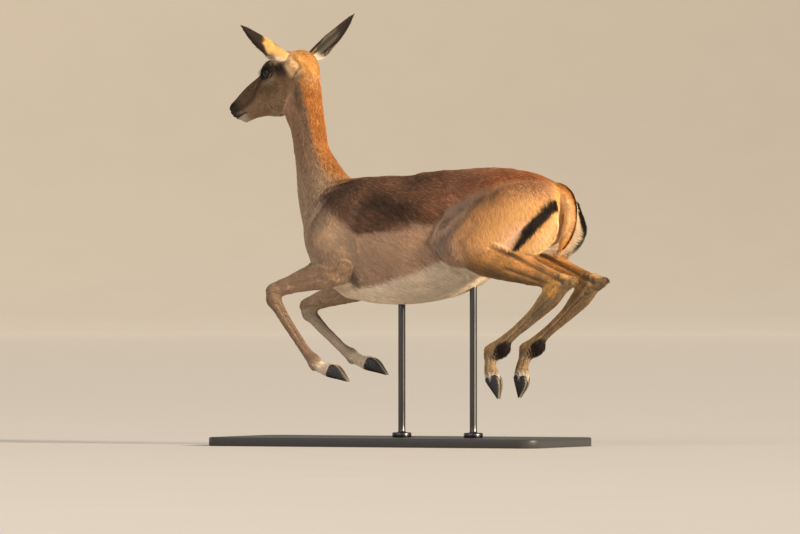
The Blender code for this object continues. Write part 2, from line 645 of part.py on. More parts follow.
def main():
    for obj in list(bpy.data.objects):
        bpy.data.objects.remove(obj)
    legs = dict(hind_left=HIND_LEFT, hind_right=HIND_RIGHT, fore_left=FORE_LEFT, fore_right=FORE_RIGHT)

    # The solids that stand in the flesh, each with a pocket grown by the gap round it.
    inset = {
        "tail": (tail, (), BROWN),
        "ear_left": (ear, (-1, *EAR_LEFT), TAN), "ear_right": (ear, (1, *EAR_RIGHT), TAN),
        "eye_left": (eye, (-1,), DARK_EYE), "eye_right": (eye, (1,), DARK_EYE),
    }
    for name, leg in legs.items():
        for side, word in ((-1, "a"), (1, "b")):
            inset[f"{name}_claw_{word}"] = (claw, (leg, side), BLACK)
    for name, place in RODS.items():
        inset[name] = (rod, place, STAND)

    body = flesh()
    drawn_smooth(body)
    for make, given, _ in inset.values():
        carve(body, make(*given, grow=GAP))
    for place in DISCS.values():
        carve(body, slab(*place))
    for place in BOWLS.values():
        carve(body, bowl(*place))
    for leg in (HIND_LEFT, HIND_RIGHT):
        carve(body, slab(leg["hock"], bisector(leg["stifle"], leg["hock"], leg["fetlock"]), 0.058))
        carve(body, slab(leg["fetlock"], bisector(leg["hock"], leg["fetlock"], leg["pastern"]), 0.030))
    for leg in (FORE_LEFT, FORE_RIGHT):
        carve(body, slab(leg["carpus"], bisector(leg["elbow"], leg["carpus"], leg["fetlock"]), 0.034))
        carve(body, slab(leg["fetlock"], bisector(leg["carpus"], leg["fetlock"], leg["pastern"]), 0.030))

    # Each closed body of the flesh is named by the landmark that lies nearest to its middle.
    places = {"trunk": (Vector((0.06, 0.0, 0.52)), BROWN), "neck": (Vector((-0.245, 0.0, 0.76)), TAN),
              "head": (head_point(0.14, 0.0, -0.015), GREY)}
    for name, leg in legs.items():
        if name.startswith("hind"):
            places["thigh_" + name[5:]] = (Vector(leg["thigh"]), TAN)
            places["gaskin_" + name[5:]] = (between(leg, "stifle", "hock", 0.80), TAN)
        else:
            places["shoulder_" + name[5:]] = (between(leg, "scapula", "elbow"), TAN)
            places["forearm_" + name[5:]] = (between(leg, "elbow", "wrist", 0.65), TAN)
        places[name + "_cannon"] = (between(leg, "fetlock", "hock" if "hock" in leg else "carpus"), GREY)
        places[name + "_foot"] = (between(leg, "pastern", "coronet"), CREAM)
    parts = loose_parts(body)
    bpy.data.objects.remove(body)
    for points, faces in parts:
        middle = sum(points, Vector()) / len(points)
        bm = bmesh.new()
        made = [bm.verts.new(point) for point in points]
        for face in faces:
            bm.faces.new([made[i] for i in face])
        if bm.calc_volume(signed=False) < SMALLEST:
            bm.free()
            continue
        name = min(places, key=lambda key: (places[key][0] - middle).length)
        finish(new_object(name, bm), name, places[name][1])
        del places[name]
    for name, (make, given, colour) in inset.items():
        finish(make(*given), name, colour, *((0.30,) if "claw" in name or "rod" in name else
                                            (0.08,) if "eye" in name else (0.85,)))
    finish(stand_base(), "stand_base", STAND, 0.45, smooth=False)

main()
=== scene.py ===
"""Impala ewe at the top of a leap, life size, on a plain display stand.

One skin is worked out from swept forms, fused and carved; fine locks of coat lie over it in the same
markings; eyes, claws and the stand are pieces of their own. Lengths are in metres, the head is
towards -X, the left side towards -Y and the floor is at height 0.
"""
import math

import bpy
import numpy as np
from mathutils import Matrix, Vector


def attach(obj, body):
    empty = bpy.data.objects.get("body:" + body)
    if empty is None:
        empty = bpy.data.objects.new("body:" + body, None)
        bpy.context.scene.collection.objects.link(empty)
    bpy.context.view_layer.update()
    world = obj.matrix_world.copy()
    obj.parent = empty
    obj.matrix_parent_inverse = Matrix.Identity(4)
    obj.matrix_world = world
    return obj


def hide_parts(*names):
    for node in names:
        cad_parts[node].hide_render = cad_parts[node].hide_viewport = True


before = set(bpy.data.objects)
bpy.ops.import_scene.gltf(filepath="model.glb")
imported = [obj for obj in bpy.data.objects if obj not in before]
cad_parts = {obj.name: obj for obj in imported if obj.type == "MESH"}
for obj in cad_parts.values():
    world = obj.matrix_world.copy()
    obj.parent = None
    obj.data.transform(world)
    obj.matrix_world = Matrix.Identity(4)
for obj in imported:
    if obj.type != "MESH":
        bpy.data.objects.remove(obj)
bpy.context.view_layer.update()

# ---- plan of the body, the same as that of the solids ----

# Rows of a body form: x, y, z of the axis, then the radii to the side, to the plus side and to the
# minus side. The plus side is the axis direction crossed with the side direction: the back of the
# trunk, the throat of the neck, the outer face of the tail.
TRUNK = (
    (-0.257, 0.0, 0.522, 0.01, 0.012, 0.012),
    (-0.25, 0.0, 0.523, 0.038, 0.05, 0.045),
    (-0.224, 0.0, 0.525, 0.066, 0.092, 0.088),
    (-0.18, 0.0, 0.52, 0.084, 0.138, 0.12),
    (-0.13, 0.0, 0.515, 0.092, 0.162, 0.143),
    (-0.07, 0.0, 0.503, 0.099, 0.1775, 0.146),
    (0.0, 0.0, 0.493, 0.107, 0.186, 0.142),
    (0.06, 0.0, 0.49, 0.111, 0.1935, 0.134),
    (0.12, 0.0, 0.5, 0.107, 0.192, 0.13),
    (0.18, 0.0, 0.518, 0.098, 0.183, 0.121),
    (0.24, 0.0, 0.54, 0.093, 0.164, 0.1),
    (0.3, 0.0, 0.56, 0.094, 0.1435, 0.09),
    (0.36, 0.0, 0.575, 0.091, 0.1185, 0.088),
    (0.405, 0.0, 0.58, 0.078, 0.092, 0.085),
    (0.438, 0.0, 0.58, 0.048, 0.066, 0.07),
    (0.452, 0.0, 0.578, 0.012, 0.03, 0.03),
)
NECK = (
    (-0.15, 0.0, 0.53, 0.068, 0.105, 0.11),
    (-0.186, 0.0, 0.61, 0.062, 0.092, 0.084),
    (-0.212, 0.0, 0.672, 0.051, 0.076, 0.058),
    (-0.238, 0.0, 0.735, 0.042, 0.053, 0.045),
    (-0.251, 0.0, 0.795, 0.039, 0.049, 0.046),
    (-0.259, 0.0, 0.85, 0.039, 0.059, 0.046),
    (-0.262, 0.0, 0.9, 0.04, 0.048, 0.044),
    (-0.262, 0.0, 0.945, 0.034, 0.04, 0.036),
    (-0.262, 0.0, 0.965, 0.016, 0.018, 0.016),
)
TAIL = (
    (0.398, 0.0, 0.64, 0.004, 0.004, 0.004),
    (0.402, 0.0, 0.643, 0.018, 0.014, 0.016),
    (0.426, 0.0, 0.643, 0.021, 0.015, 0.018),
    (0.45, -0.004, 0.628, 0.023, 0.016, 0.019),
    (0.466, -0.01, 0.602, 0.024, 0.016, 0.019),
    (0.471, -0.016, 0.568, 0.022, 0.015, 0.018),
    (0.466, -0.02, 0.537, 0.021, 0.014, 0.016),
    (0.456, -0.023, 0.51, 0.015, 0.011, 0.012),
    (0.445, -0.025, 0.489, 0.004, 0.003, 0.003),
)

# The head has its own frame: nose tip, pitch below level, yaw to the right of the body.
NOSE = (-0.4764, 0.0283, 0.8425)
HEAD_PITCH, HEAD_YAW = 27.0, 7.0  # degrees
# Rows of the head: distance back from the nose tip, level of the widest line, half width, top, bottom.
HEAD = (
    (-0.002, -0.018, 0.006, -0.013, -0.024),
    (0.002, -0.017, 0.013, 0.0005, -0.034),
    (0.01, -0.014, 0.018, 0.0135, -0.042),
    (0.021, -0.013, 0.0205, 0.019, -0.047),
    (0.034, -0.014, 0.0215, 0.0215, -0.05),
    (0.055, -0.012, 0.0225, 0.025, -0.053),
    (0.08, -0.01, 0.025, 0.0295, -0.061),
    (0.105, -0.006, 0.031, 0.0345, -0.075),
    (0.132, 0.002, 0.039, 0.04, -0.094),
    (0.16, 0.006, 0.0425, 0.047, -0.103),
    (0.19, 0.004, 0.043, 0.053, -0.098),
    (0.22, 0.0, 0.042, 0.05, -0.07),
    (0.245, -0.006, 0.038, 0.042, -0.058),
    (0.265, -0.01, 0.028, 0.023, -0.044),
    (0.276, -0.012, 0.008, 0.002, -0.024),
)

# Joints of the legs, from the body down to the toe.
HIND_LEFT = dict(
    croup=(0.426, -0.046, 0.64), hip=(0.372, -0.07, 0.596), thigh=(0.288, -0.08, 0.546),
    stifle=(0.205, -0.092, 0.5), knee=(0.142, -0.098, 0.494),
    hock=(0.471, -0.075, 0.405), heel=(0.512, -0.074, 0.416), fetlock=(0.275, -0.062, 0.228),
    pastern=(0.272, -0.061, 0.2), coronet=(0.279, -0.06, 0.17), toe=(0.2955, -0.06, 0.12),
)
HIND_RIGHT = dict(
    croup=(0.432, 0.062, 0.628), hip=(0.385, 0.084, 0.591), thigh=(0.302, 0.086, 0.546),
    stifle=(0.214, 0.092, 0.5), knee=(0.15, 0.098, 0.494),
    hock=(0.49, 0.075, 0.405), heel=(0.533, 0.074, 0.416), fetlock=(0.317, 0.062, 0.232),
    pastern=(0.307, 0.061, 0.203), coronet=(0.3045, 0.06, 0.171), toe=(0.3, 0.06, 0.121),
)
FORE_LEFT = dict(
    withers=(-0.09, -0.03, 0.64), scapula=(-0.135, -0.068, 0.59), shoulder=(-0.194, -0.068, 0.52),
    elbow=(-0.128, -0.082, 0.443), wrist=(-0.316, -0.076, 0.387), carpus=(-0.315, -0.076, 0.374),
    fetlock=(-0.202, -0.07, 0.206), pastern=(-0.18, -0.069, 0.194), coronet=(-0.156, -0.068, 0.188),
    toe=(-0.111, -0.067, 0.162),
)
FORE_RIGHT = dict(
    withers=(-0.09, 0.03, 0.64), scapula=(-0.135, 0.068, 0.59), shoulder=(-0.194, 0.068, 0.52),
    elbow=(-0.113, 0.084, 0.414), wrist=(-0.296, 0.084, 0.349), carpus=(-0.291, 0.084, 0.338),
    fetlock=(-0.146, 0.034, 0.2225), pastern=(-0.12, 0.032, 0.211), coronet=(-0.097, 0.032, 0.205),
    toe=(-0.049, 0.032, 0.178),
)

# Forms along chains of leg joints. Each row holds its share of the chain (1.25 is a quarter past the
# second joint), the shift of the axis to the plus side, and the side, plus and minus radii.
HIND_FORMS = dict(
    thigh=(("croup", "hip", "thigh", "stifle", "knee"), (
        (0.0, 0.0, 0.018, 0.036, 0.02),
        (0.35, 0.0, 0.034, 0.078, 0.042),
        (1.0, 0.0, 0.045, 0.118, 0.074),
        (2.0, 0.0, 0.046, 0.108, 0.082),
        (3.0, 0.0, 0.036, 0.066, 0.066),
        (3.7, 0.0, 0.024, 0.04, 0.042),
        (4.0, 0.0, 0.008, 0.012, 0.014),
    )),
    gaskin=(("stifle", "hock", "heel"), (
        (-0.12, 0.0, 0.016, 0.02, 0.022),
        (0.0, 0.0, 0.034, 0.046, 0.05),
        (0.22, 0.002, 0.037, 0.05, 0.058),
        (0.45, 0.002, 0.032, 0.046, 0.05),
        (0.66, 0.002, 0.024, 0.037, 0.039),
        (0.84, 0.003, 0.02, 0.029, 0.029),
        (1.0, 0.004, 0.018, 0.022, 0.024),
        (1.5, 0.001, 0.014, 0.017, 0.018),
        (1.95, 0.0, 0.011, 0.011, 0.012),
        (2.06, 0.0, 0.004, 0.004, 0.004),
    )),
    cannon=(("heel", "hock", "fetlock"), (
        (0.1, 0.0, 0.01, 0.012, 0.01),
        (0.6, 0.0, 0.016, 0.022, 0.022),
        (1.0, 0.0, 0.019, 0.026, 0.028),
        (1.18, 0.003, 0.018, 0.028, 0.027),
        (1.38, 0.006, 0.0145, 0.02, 0.02),
        (1.52, 0.0045, 0.013, 0.0172, 0.0172),
        (1.67, 0.0015, 0.013, 0.0152, 0.0152),
        (1.85, 0.0, 0.0145, 0.017, 0.0195),
        (1.95, 0.0, 0.0165, 0.019, 0.0265),
        (2.0, 0.0, 0.0165, 0.019, 0.0265),
        (2.05, 0.0, 0.012, 0.014, 0.014),
    )),
)
FORE_FORMS = dict(
    blade=(("withers", "scapula", "shoulder"), (
        (0.0, 0.0, 0.02, 0.03, 0.03),
        (0.5, 0.0, 0.026, 0.05, 0.045),
        (1.0, 0.0, 0.028, 0.06, 0.045),
        (1.6, 0.0, 0.03, 0.052, 0.044),
        (2.0, 0.0, 0.028, 0.04, 0.038),
        (2.25, 0.0, 0.014, 0.018, 0.02),
    )),
    upper_arm=(("shoulder", "elbow"), (
        (-0.28, 0.0, 0.012, 0.018, 0.018),
        (0.0, 0.0, 0.03, 0.042, 0.04),
        (0.45, 0.0, 0.032, 0.058, 0.046),
        (0.9, 0.0, 0.028, 0.046, 0.046),
        (1.16, 0.0, 0.018, 0.026, 0.03),
    )),
    forearm=(("elbow", "wrist"), (
        (-0.2, 0.0, 0.01, 0.014, 0.016),
        (-0.05, 0.0, 0.026, 0.04, 0.042),
        (0.25, 0.0, 0.028, 0.04, 0.042),
        (0.5, 0.0, 0.024, 0.031, 0.034),
        (0.75, 0.0, 0.0195, 0.023, 0.026),
        (0.9, 0.0, 0.0185, 0.021, 0.022),
        (1.0, 0.0, 0.0185, 0.021, 0.02),
        (1.08, 0.0, 0.01, 0.012, 0.012),
    )),
    cannon=(("wrist", "carpus", "fetlock"), (
        (0.0, 0.0, 0.01, 0.012, 0.01),
        (0.8, 0.0, 0.018, 0.02, 0.019),
        (1.06, -0.002, 0.0185, 0.019, 0.022),
        (1.15, -0.003, 0.016, 0.0165, 0.0175),
        (1.35, -0.005, 0.013, 0.015, 0.015),
        (1.6, -0.004, 0.012, 0.0142, 0.0142),
        (1.8, -0.003, 0.0125, 0.014, 0.014),
        (1.93, 0.0, 0.015, 0.0175, 0.0165),
        (2.0, 0.0, 0.016, 0.0185, 0.018),
        (2.07, 0.0, 0.01, 0.012, 0.012),
    )),
)
FOOT_FORM = (
    (-0.1, 0.0, 0.01, 0.012, 0.012),
    (0.0, 0.0, 0.0165, 0.0185, 0.0205),
    (0.5, 0.0, 0.0155, 0.0165, 0.016),
    (1.0, 0.0, 0.016, 0.016, 0.016),
    (1.6, 0.0, 0.0195, 0.0195, 0.0195),
    (2.0, 0.0, 0.0205, 0.02, 0.0195),
    (2.16, 0.0, 0.019, 0.018, 0.0175),
)
FOOT_JOINTS = ("fetlock", "pastern", "coronet", "toe")
HEAD_POWERS = (2.3, 2.0)
# Swellings of the head, mirrored: back, right, up of the middle, then the radii along those ways.
HEAD_BALLS = (
    (0.166, 0.024, 0.034, 0.032, 0.017, 0.023),
    (0.16, 0.022, -0.036, 0.048, 0.017, 0.04),
    (0.236, 0.038, 0.018, 0.02, 0.018, 0.022),
)
# The dark tuft behind each hind fetlock: share of the cannon, shift back, radii across, fore-aft, along.
TUFT_PLACE, TUFT_RADII = (0.87, 0.012), (0.013, 0.017, 0.027)
TUFT_REACH = (0.019, 0.02, 0.032)  # how far its hair covers, in the same three ways


# ---- shapes as whole arrays ----

SIDEWAYS = np.array((0.0, 1.0, 0.0))


def unit(vectors):
    """Vectors brought to length one."""
    return vectors / np.maximum(np.linalg.norm(vectors, axis=-1, keepdims=True), 1e-12)


def norm(vectors):
    """The length of each vector."""
    return np.linalg.norm(vectors, axis=1)


def whole_turn(count):
    """Angles evenly round a circle."""
    return np.linspace(0, 2 * math.pi, count, endpoint=False)


def ramp(value, low, high):
    """Nought below low, one above high, and a smooth S between them."""
    share = np.clip((value - low) / (high - low), 0.0, 1.0)
    return share * share * (3 - 2 * share)


def spline(rows, per_span):
    """Catmull-Rom curve through the rows: each span is a cubic of its four nearest rows."""
    rows = np.asarray(rows, float)
    ends = np.vstack((2 * rows[0] - rows[1], rows, 2 * rows[-1] - rows[-2]))
    a, b, c, d = (ends[i:len(ends) - 3 + i, None] for i in range(4))
    t = (np.arange(per_span) / per_span)[None, :, None]
    spans = 0.5 * (2 * b + (c - a) * t + (2 * a - 5 * b + 4 * c - d) * t**2
                   + (3 * b - a - 3 * c + d) * t**3)
    return np.vstack((spans.reshape(-1, rows.shape[1]), rows[-1:]))


def axes_of(centres):
    """Frames along a curve: its way, the side way squared to it, and their cross product."""
    way = unit(np.gradient(centres, axis=0))
    side = unit(SIDEWAYS - way * (way @ SIDEWAYS)[:, None])
    return way, side, np.cross(way, side)


def swept(rows, powers=(2.0, 2.0), around=28, per_span=5):
    """A superellipse carried along a curve: across = side |cos|^(2/p), rise = depth |sin|^(2/p)."""
    rows = spline(rows, per_span)
    _, side, plus = axes_of(rows[:, :3])
    turn = whole_turn(around)
    power = 2 / np.where(np.sin(turn) > 0, *powers)
    sizes = np.maximum(rows[:, 3:6], 0.0005)
    depth = np.where(np.sin(turn) > 0, sizes[:, 1:2], sizes[:, 2:3])
    across = sizes[:, :1] * np.sign(np.cos(turn)) * np.abs(np.cos(turn)) ** power
    rise = depth * np.sign(np.sin(turn)) * np.abs(np.sin(turn)) ** power
    return rows[:, None, :3] + across[..., None] * side[:, None] + rise[..., None] * plus[:, None]


def closed(grid):
    """Points and faces of a tube of rings, its two ends closed onto a middle point."""
    rings, around = grid.shape[:2]
    points = np.vstack((grid.reshape(-1, 3), grid[0].mean(0), grid[-1].mean(0)))
    row = np.arange(rings - 1)[:, None] * around
    here, beside = np.arange(around), np.roll(np.arange(around), -1)
    quads = np.stack((row + here, row + here + around, row + beside + around, row + beside), -1)
    start, end, last = rings * around, rings * around + 1, (rings - 1) * around
    caps = np.vstack((np.stack((here, beside, np.full(around, start)), -1),
                      np.stack((last + beside, last + here, np.full(around, end)), -1)))
    return points, quads.reshape(-1, 4), caps


def ball(centre, radii, turn=None, around=28, rings=18):
    """An ellipsoid: latitude rings from pole to pole, scaled and turned."""
    up = np.linspace(0.04, math.pi - 0.04, rings)[:, None]
    turns = whole_turn(around)
    grid = np.stack((np.sin(up) * np.cos(turns), -np.sin(up) * np.sin(turns),
                     np.repeat(np.cos(up), around, 1)), -1) * np.asarray(radii)
    return closed(np.asarray(centre) + (grid if turn is None else grid @ np.asarray(turn).T))


def joined(shapes):
    """Several shapes as one list of points, quads and triangles."""
    points, quads, tris, start = [], [], [], 0
    for p, q, t in shapes:
        points.append(p)
        quads.append(q + start)
        tris.append(t + start)
        start += len(p)
    return np.vstack(points), np.vstack(quads), np.vstack(tris)


def new_piece(name, points, quads=(), tris=(), smooth=True):
    """A mesh object from arrays of points and faces."""
    quads = np.asarray(quads, np.int32).reshape(-1, 4)
    tris = np.asarray(tris, np.int32).reshape(-1, 3)
    sizes = np.repeat((4, 3), (len(quads), len(tris)))
    mesh = bpy.data.meshes.new(name)
    mesh.vertices.add(len(points))
    mesh.vertices.foreach_set("co", np.asarray(points, np.float32).ravel())
    mesh.loops.add(int(sizes.sum()))
    mesh.loops.foreach_set("vertex_index", np.concatenate((quads.ravel(), tris.ravel())))
    mesh.polygons.add(len(sizes))
    mesh.polygons.foreach_set("loop_start", np.cumsum(sizes) - sizes)
    mesh.polygons.foreach_set("use_smooth", np.full(len(sizes), smooth))
    mesh.update(calc_edges=True)
    piece = bpy.data.objects.new(name, mesh)
    bpy.context.scene.collection.objects.link(piece)
    return piece


def read(piece, holder, name, width, kind=np.float32):
    """One array read from a mesh."""
    items = getattr(piece.data, holder)
    values = np.empty(len(items) * width, kind)
    items.foreach_get(name, values)
    return values.reshape(-1, width) if width > 1 else values


def finished(piece, kind, **settings):
    """Runs one modifier on a piece for good."""
    modifier = piece.modifiers.new(kind.lower(), kind)
    for name, value in settings.items():
        setattr(modifier, name, value)
    graph = bpy.context.evaluated_depsgraph_get()
    mesh = bpy.data.meshes.new_from_object(piece.evaluated_get(graph))
    piece.modifiers.clear()
    old, piece.data = piece.data, mesh
    bpy.data.meshes.remove(old)
    return piece


def eased(values, edges, passes, where=None, strength=0.5):
    """Each row moves part of the way to the mean of its neighbours, again and again."""
    values = values.astype(np.float64)
    if where is not None:
        edges = edges[where[edges[:, 0]] | where[edges[:, 1]]]
    used, edges = np.unique(edges, return_inverse=True)
    edges = edges.reshape(-1, 2)
    part = values[used]
    held = np.zeros(len(used), bool) if where is None else ~where[used]
    ends = edges.T.ravel()
    others = edges[:, ::-1].T.ravel()
    count = np.maximum(np.bincount(ends, minlength=len(used)), 1)[:, None]
    for _ in range(passes):
        sums = [np.bincount(ends, part[others, k], len(used)) for k in range(part.shape[1])]
        mean = np.stack(sums, 1) / count
        mean[held] = part[held]
        part += strength * (mean - part)
    values[used] = part
    return values


def normals_of(points, tris):
    """Vertex normals: the face normals, weighted by area, summed at each corner."""
    a, b, c = (points[tris[:, k]] for k in range(3))
    face = np.cross(b - a, c - a)
    sums = [np.bincount(tris.ravel(), np.repeat(face[:, k], 3), len(points)) for k in range(3)]
    return unit(np.stack(sums, 1))


def off_path(points, path, widths=None):
    """Distance of points from a broken line, in any number of ways, and the width where they meet it."""
    path = np.asarray(path, float)
    best = np.full(len(points), 9.0)
    wide = np.zeros(len(points))
    widths = np.ones(len(path)) if widths is None else np.asarray(widths, float)
    for a, b, wa, wb in zip(path, path[1:], widths, widths[1:]):
        share = np.clip((points - a) @ (b - a) / max((b - a) @ (b - a), 1e-12), 0, 1)
        away = norm(points - a - share[:, None] * (b - a))
        nearer = away < best
        best = np.where(nearer, away, best)
        wide = np.where(nearer, wa + share * (wb - wa), wide)
    return best, wide


# ---- the body's forms and their axes ----

EAR_ROOT = np.array((0.2326, 0.045, 0.0274))  # back, right, up in the head's frame
EAR_HALF_WIDTH, EAR_WALL, EAR_BOW = 0.0228, 0.004, 0.008  # a little narrower than the solid's
# A soft pad that fills the notch at each ear's root, in the terms of HEAD_BALLS.
EAR_PADS = ((0.225, 0.034, 0.034, 0.02, 0.014, 0.0155),)
# A soft fill behind each shoulder: middle on the right side, and radii.
ELBOW_FILL = ((-0.102, 0.06, 0.52), (0.045, 0.036, 0.08))
# Side, way from root to tip, and the way the cup opens.
EARS = {"left": (-1, (-0.0785, -0.112, 0.079), (-0.859, 0.483, -0.17)),
        "right": (1, (0.093, 0.079, 0.1115), (0.793, -0.542, -0.276))}
EYE_CENTRE, EYE_RADIUS = np.array((0.158, 0.0325, 0.0224)), 0.0165
PITCH, YAW = math.radians(HEAD_PITCH), math.radians(HEAD_YAW)
# Columns: the head's back, right and up ways in the body's axes.
HEAD_TURN = (np.array(((math.cos(YAW), math.sin(YAW), 0), (-math.sin(YAW), math.cos(YAW), 0), (0, 0, 1)))
             @ np.array(((math.cos(PITCH), 0, -math.sin(PITCH)), (0, 1, 0),
                         (math.sin(PITCH), 0, math.cos(PITCH)))))
LEGS = {"hind_left": HIND_LEFT, "hind_right": HIND_RIGHT, "fore_left": FORE_LEFT, "fore_right": FORE_RIGHT}


def head_point(*place):
    """A point given back, right and up from the nose tip."""
    return np.array(NOSE) + HEAD_TURN @ np.array(place, float)


def mirrored(place, side):
    """A point given for the head's right side, put on the side asked for."""
    back, right, up = place
    return head_point(back, side * right, up)


def in_head(points):
    """Points of the body measured back, right and up from the nose tip."""
    return (points - np.array(NOSE)) @ HEAD_TURN


def limb_rows(leg, names, form):
    """The rows of a form laid along a leg's joints: share 1.25 is a quarter past the second joint."""
    joints = np.array([leg[name] for name in names])
    form = np.array(form)
    bone = np.clip(np.floor(form[:, 0]), 0, len(joints) - 2).astype(int)
    centres = joints[bone] + (form[:, 0] - bone)[:, None] * (joints[bone + 1] - joints[bone])
    plus = unit(np.cross(np.gradient(centres, axis=0), SIDEWAYS))
    return np.hstack((centres + plus * form[:, 1:2], form[:, 2:]))


def head_rows():
    """The head's rows as rows of a body form: places in the body, then side, plus and minus radii."""
    rows = np.array(HEAD)
    local = np.column_stack((rows[:, 0], np.zeros(len(rows)), rows[:, 1]))
    sizes = np.column_stack((rows[:, 2], rows[:, 3] - rows[:, 1], rows[:, 1] - rows[:, 4]))
    return np.hstack((np.array(NOSE) + local @ HEAD_TURN.T, sizes))


def ear_frame(side, way, opening):
    """Root, axis, the way across and the way the cup opens."""
    axis = np.array(way)
    across = unit(np.cross(axis, opening))
    return mirrored(EAR_ROOT, side), axis, across, unit(np.cross(across, axis))


def ear_half(share, least):
    """Half width of an ear: a sine up to its widest, times (1 - share^2.6)^0.8 toward the tip."""
    swell = 0.42 + 0.58 * np.sin(0.5 * math.pi * np.minimum(1, share / 0.42))
    return np.maximum(EAR_HALF_WIDTH * swell * (1 - share**2.6) ** 0.8, least)


def ear(side, way, opening, around=22, rings=46):
    """A cupped leaf: at each share a curled wall, a tube at the root and a trough to the tip."""
    root, axis, across, cup = ear_frame(side, way, opening)
    s = np.linspace(-0.14, 1.0, rings)
    t = np.maximum(s, 0)
    half = ear_half(t, 0.0018)
    curl = np.radians(150 - 88 * np.minimum(1, t / 0.42))
    radius = (half / np.sin(np.minimum(curl, math.pi / 2)))[:, None]
    wall = (EAR_WALL * (1 - 0.38 * t) / 2)[:, None]
    turn = np.linspace(-1, 1, around) * curl[:, None]
    turn = np.hstack((turn, turn[:, ::-1]))
    reach = np.hstack((np.repeat(radius + wall, around, 1),
                       np.repeat(np.maximum(radius - wall, 0.0004), around, 1)))
    middle = root + s[:, None] * axis + (EAR_BOW * np.sin(math.pi * s))[:, None] * across
    grid = (middle[:, None] + (reach * np.sin(turn))[..., None] * across
            - (reach * np.cos(turn) - 0.6 * radius)[..., None] * cup)
    return grid[:, ::-1]


def on_ear(points, word):
    """Where points stand on an ear: its ways across and into the cup, the share from root to tip, the
    bowed middle and half width there, and how far they are across it, -1 to 1 from rim to rim."""
    root, axis, across, cup = ear_frame(*EARS[word])
    share = (points - root) @ axis / (axis @ axis)
    held = np.clip(share, 0, 1)
    middle = root + share[:, None] * axis + (EAR_BOW * np.sin(math.pi * held))[:, None] * across
    half = ear_half(held, 0.004)
    return axis, across, cup, share, middle, half, (points - middle) @ across / half


def body_forms():
    """Every swept form by name: its rows and its squareness."""
    forms = {"trunk": (TRUNK, (2.0, 2.2)), "neck": (NECK, (2.0, 2.0)), "head": (head_rows(), HEAD_POWERS)}
    for leg_name, leg in LEGS.items():
        plan = HIND_FORMS if leg_name.startswith("hind") else FORE_FORMS
        for part, (names, form) in {**plan, "foot": (FOOT_JOINTS, FOOT_FORM)}.items():
            forms[f"{leg_name}.{part}"] = (limb_rows(leg, names, form), (2.0, 2.0))
    return forms


def gland_tuft(leg):
    """Middle and turn of the dark tuft behind a hind fetlock."""
    hock, fetlock = np.array(leg["hock"]), np.array(leg["fetlock"])
    down = unit(fetlock - hock)
    side = unit(SIDEWAYS - down * down[1])
    rear = np.cross(down, side)
    return hock + TUFT_PLACE[0] * (fetlock - hock) + rear * TUFT_PLACE[1], np.stack((side, rear, down), 1)


def from_gland(points, leg):
    """Distance from the middle of a gland tuft, counted in its hair's reach, with its middle and turn."""
    middle, turn = gland_tuft(leg)
    return norm((points - middle) @ turn / TUFT_REACH), middle, turn


FORMS = body_forms()
ROUGH, FINE = 0.005, 0.0016  # pitches of the first and the last fusing
# Where forms meet: x, y, z, reach, and passes of easing, in this order.
BLENDS = (
    (-0.2, 0.0, 0.62, 0.15, 14), (-0.16, 0.0, 0.5, 0.17, 10),
    (-0.255, 0.0, 0.88, 0.05, 8), (-0.262, 0.0, 0.955, 0.045, 6),
    (0.34, -0.07, 0.57, 0.17, 12), (0.36, 0.07, 0.57, 0.17, 12),
    (0.17, -0.09, 0.49, 0.08, 10), (0.17, 0.09, 0.49, 0.08, 10),
    (0.235, -0.095, 0.605, 0.085, 26), (0.235, 0.095, 0.605, 0.085, 26),
    (0.34, -0.09, 0.64, 0.11, 36), (0.34, 0.09, 0.64, 0.11, 36),
    (-0.11, -0.09, 0.6, 0.07, 14), (-0.11, 0.09, 0.6, 0.07, 14),
    (-0.11, -0.09, 0.47, 0.062, 60), (-0.11, 0.09, 0.47, 0.062, 60),
    (0.47, -0.075, 0.405, 0.045, 4), (0.49, 0.075, 0.405, 0.045, 4),
)


def rough_body():
    """The forms fused at a rough pitch and eased, more where two forms meet."""
    shapes = [closed(swept(rows, powers)) for rows, powers in FORMS.values()]
    for side in (-1, 1):
        for back, right, up, *radii in HEAD_BALLS + EAR_PADS:
            shapes.append(ball(mirrored((back, right, up), side), radii, HEAD_TURN))
        (x, y, z), radii = ELBOW_FILL
        shapes.append(ball((x, side * y, z), radii))
    for leg in (HIND_LEFT, HIND_RIGHT):
        place, turn = gland_tuft(leg)
        shapes.append(ball(place, TUFT_RADII, turn))
    body = finished(new_piece("rough", *joined(shapes)), "REMESH", mode="VOXEL", voxel_size=ROUGH)
    points, edges = read(body, "vertices", "co", 3), read(body, "edges", "vertices", 2, np.int32)
    points = eased(points, edges, 2)
    for *middle, reach, passes in BLENDS:
        points = eased(points, edges, passes, norm(points - middle) < reach)
    body.data.vertices.foreach_set("co", points.astype(np.float32).ravel())
    return finished(body, "SUBSURF", levels=1, render_levels=1)


def fine_body():
    """The rough body joined with tail, ears and lids, and fused again at a fine pitch."""
    body = rough_body()
    points = read(body, "vertices", "co", 3)
    faces = read(body, "loops", "vertex_index", 1, np.int32).reshape(-1, 4)
    bpy.data.objects.remove(body)
    shapes = [(points, faces, np.zeros((0, 3), int)), closed(swept(TAIL, per_span=8))]
    shapes += [closed(ear(*plan)) for plan in EARS.values()]
    for side in (-1, 1):
        shapes.append(ball(mirrored(EYE_CENTRE, side), (EYE_RADIUS + LID,) * 3))
    body = finished(new_piece("fine", *joined(shapes)), "REMESH", mode="VOXEL", voxel_size=FINE)
    points, edges = read(body, "vertices", "co", 3), read(body, "edges", "vertices", 2, np.int32)
    quads = read(body, "loops", "vertex_index", 1, np.int32).reshape(-1, 4)
    bpy.data.objects.remove(body)
    return points.astype(float), edges, quads


# ---- carving: folds, lids, nostrils, mouth, tendons ----

LID = 0.0013  # thickness of an eyelid over the eyeball
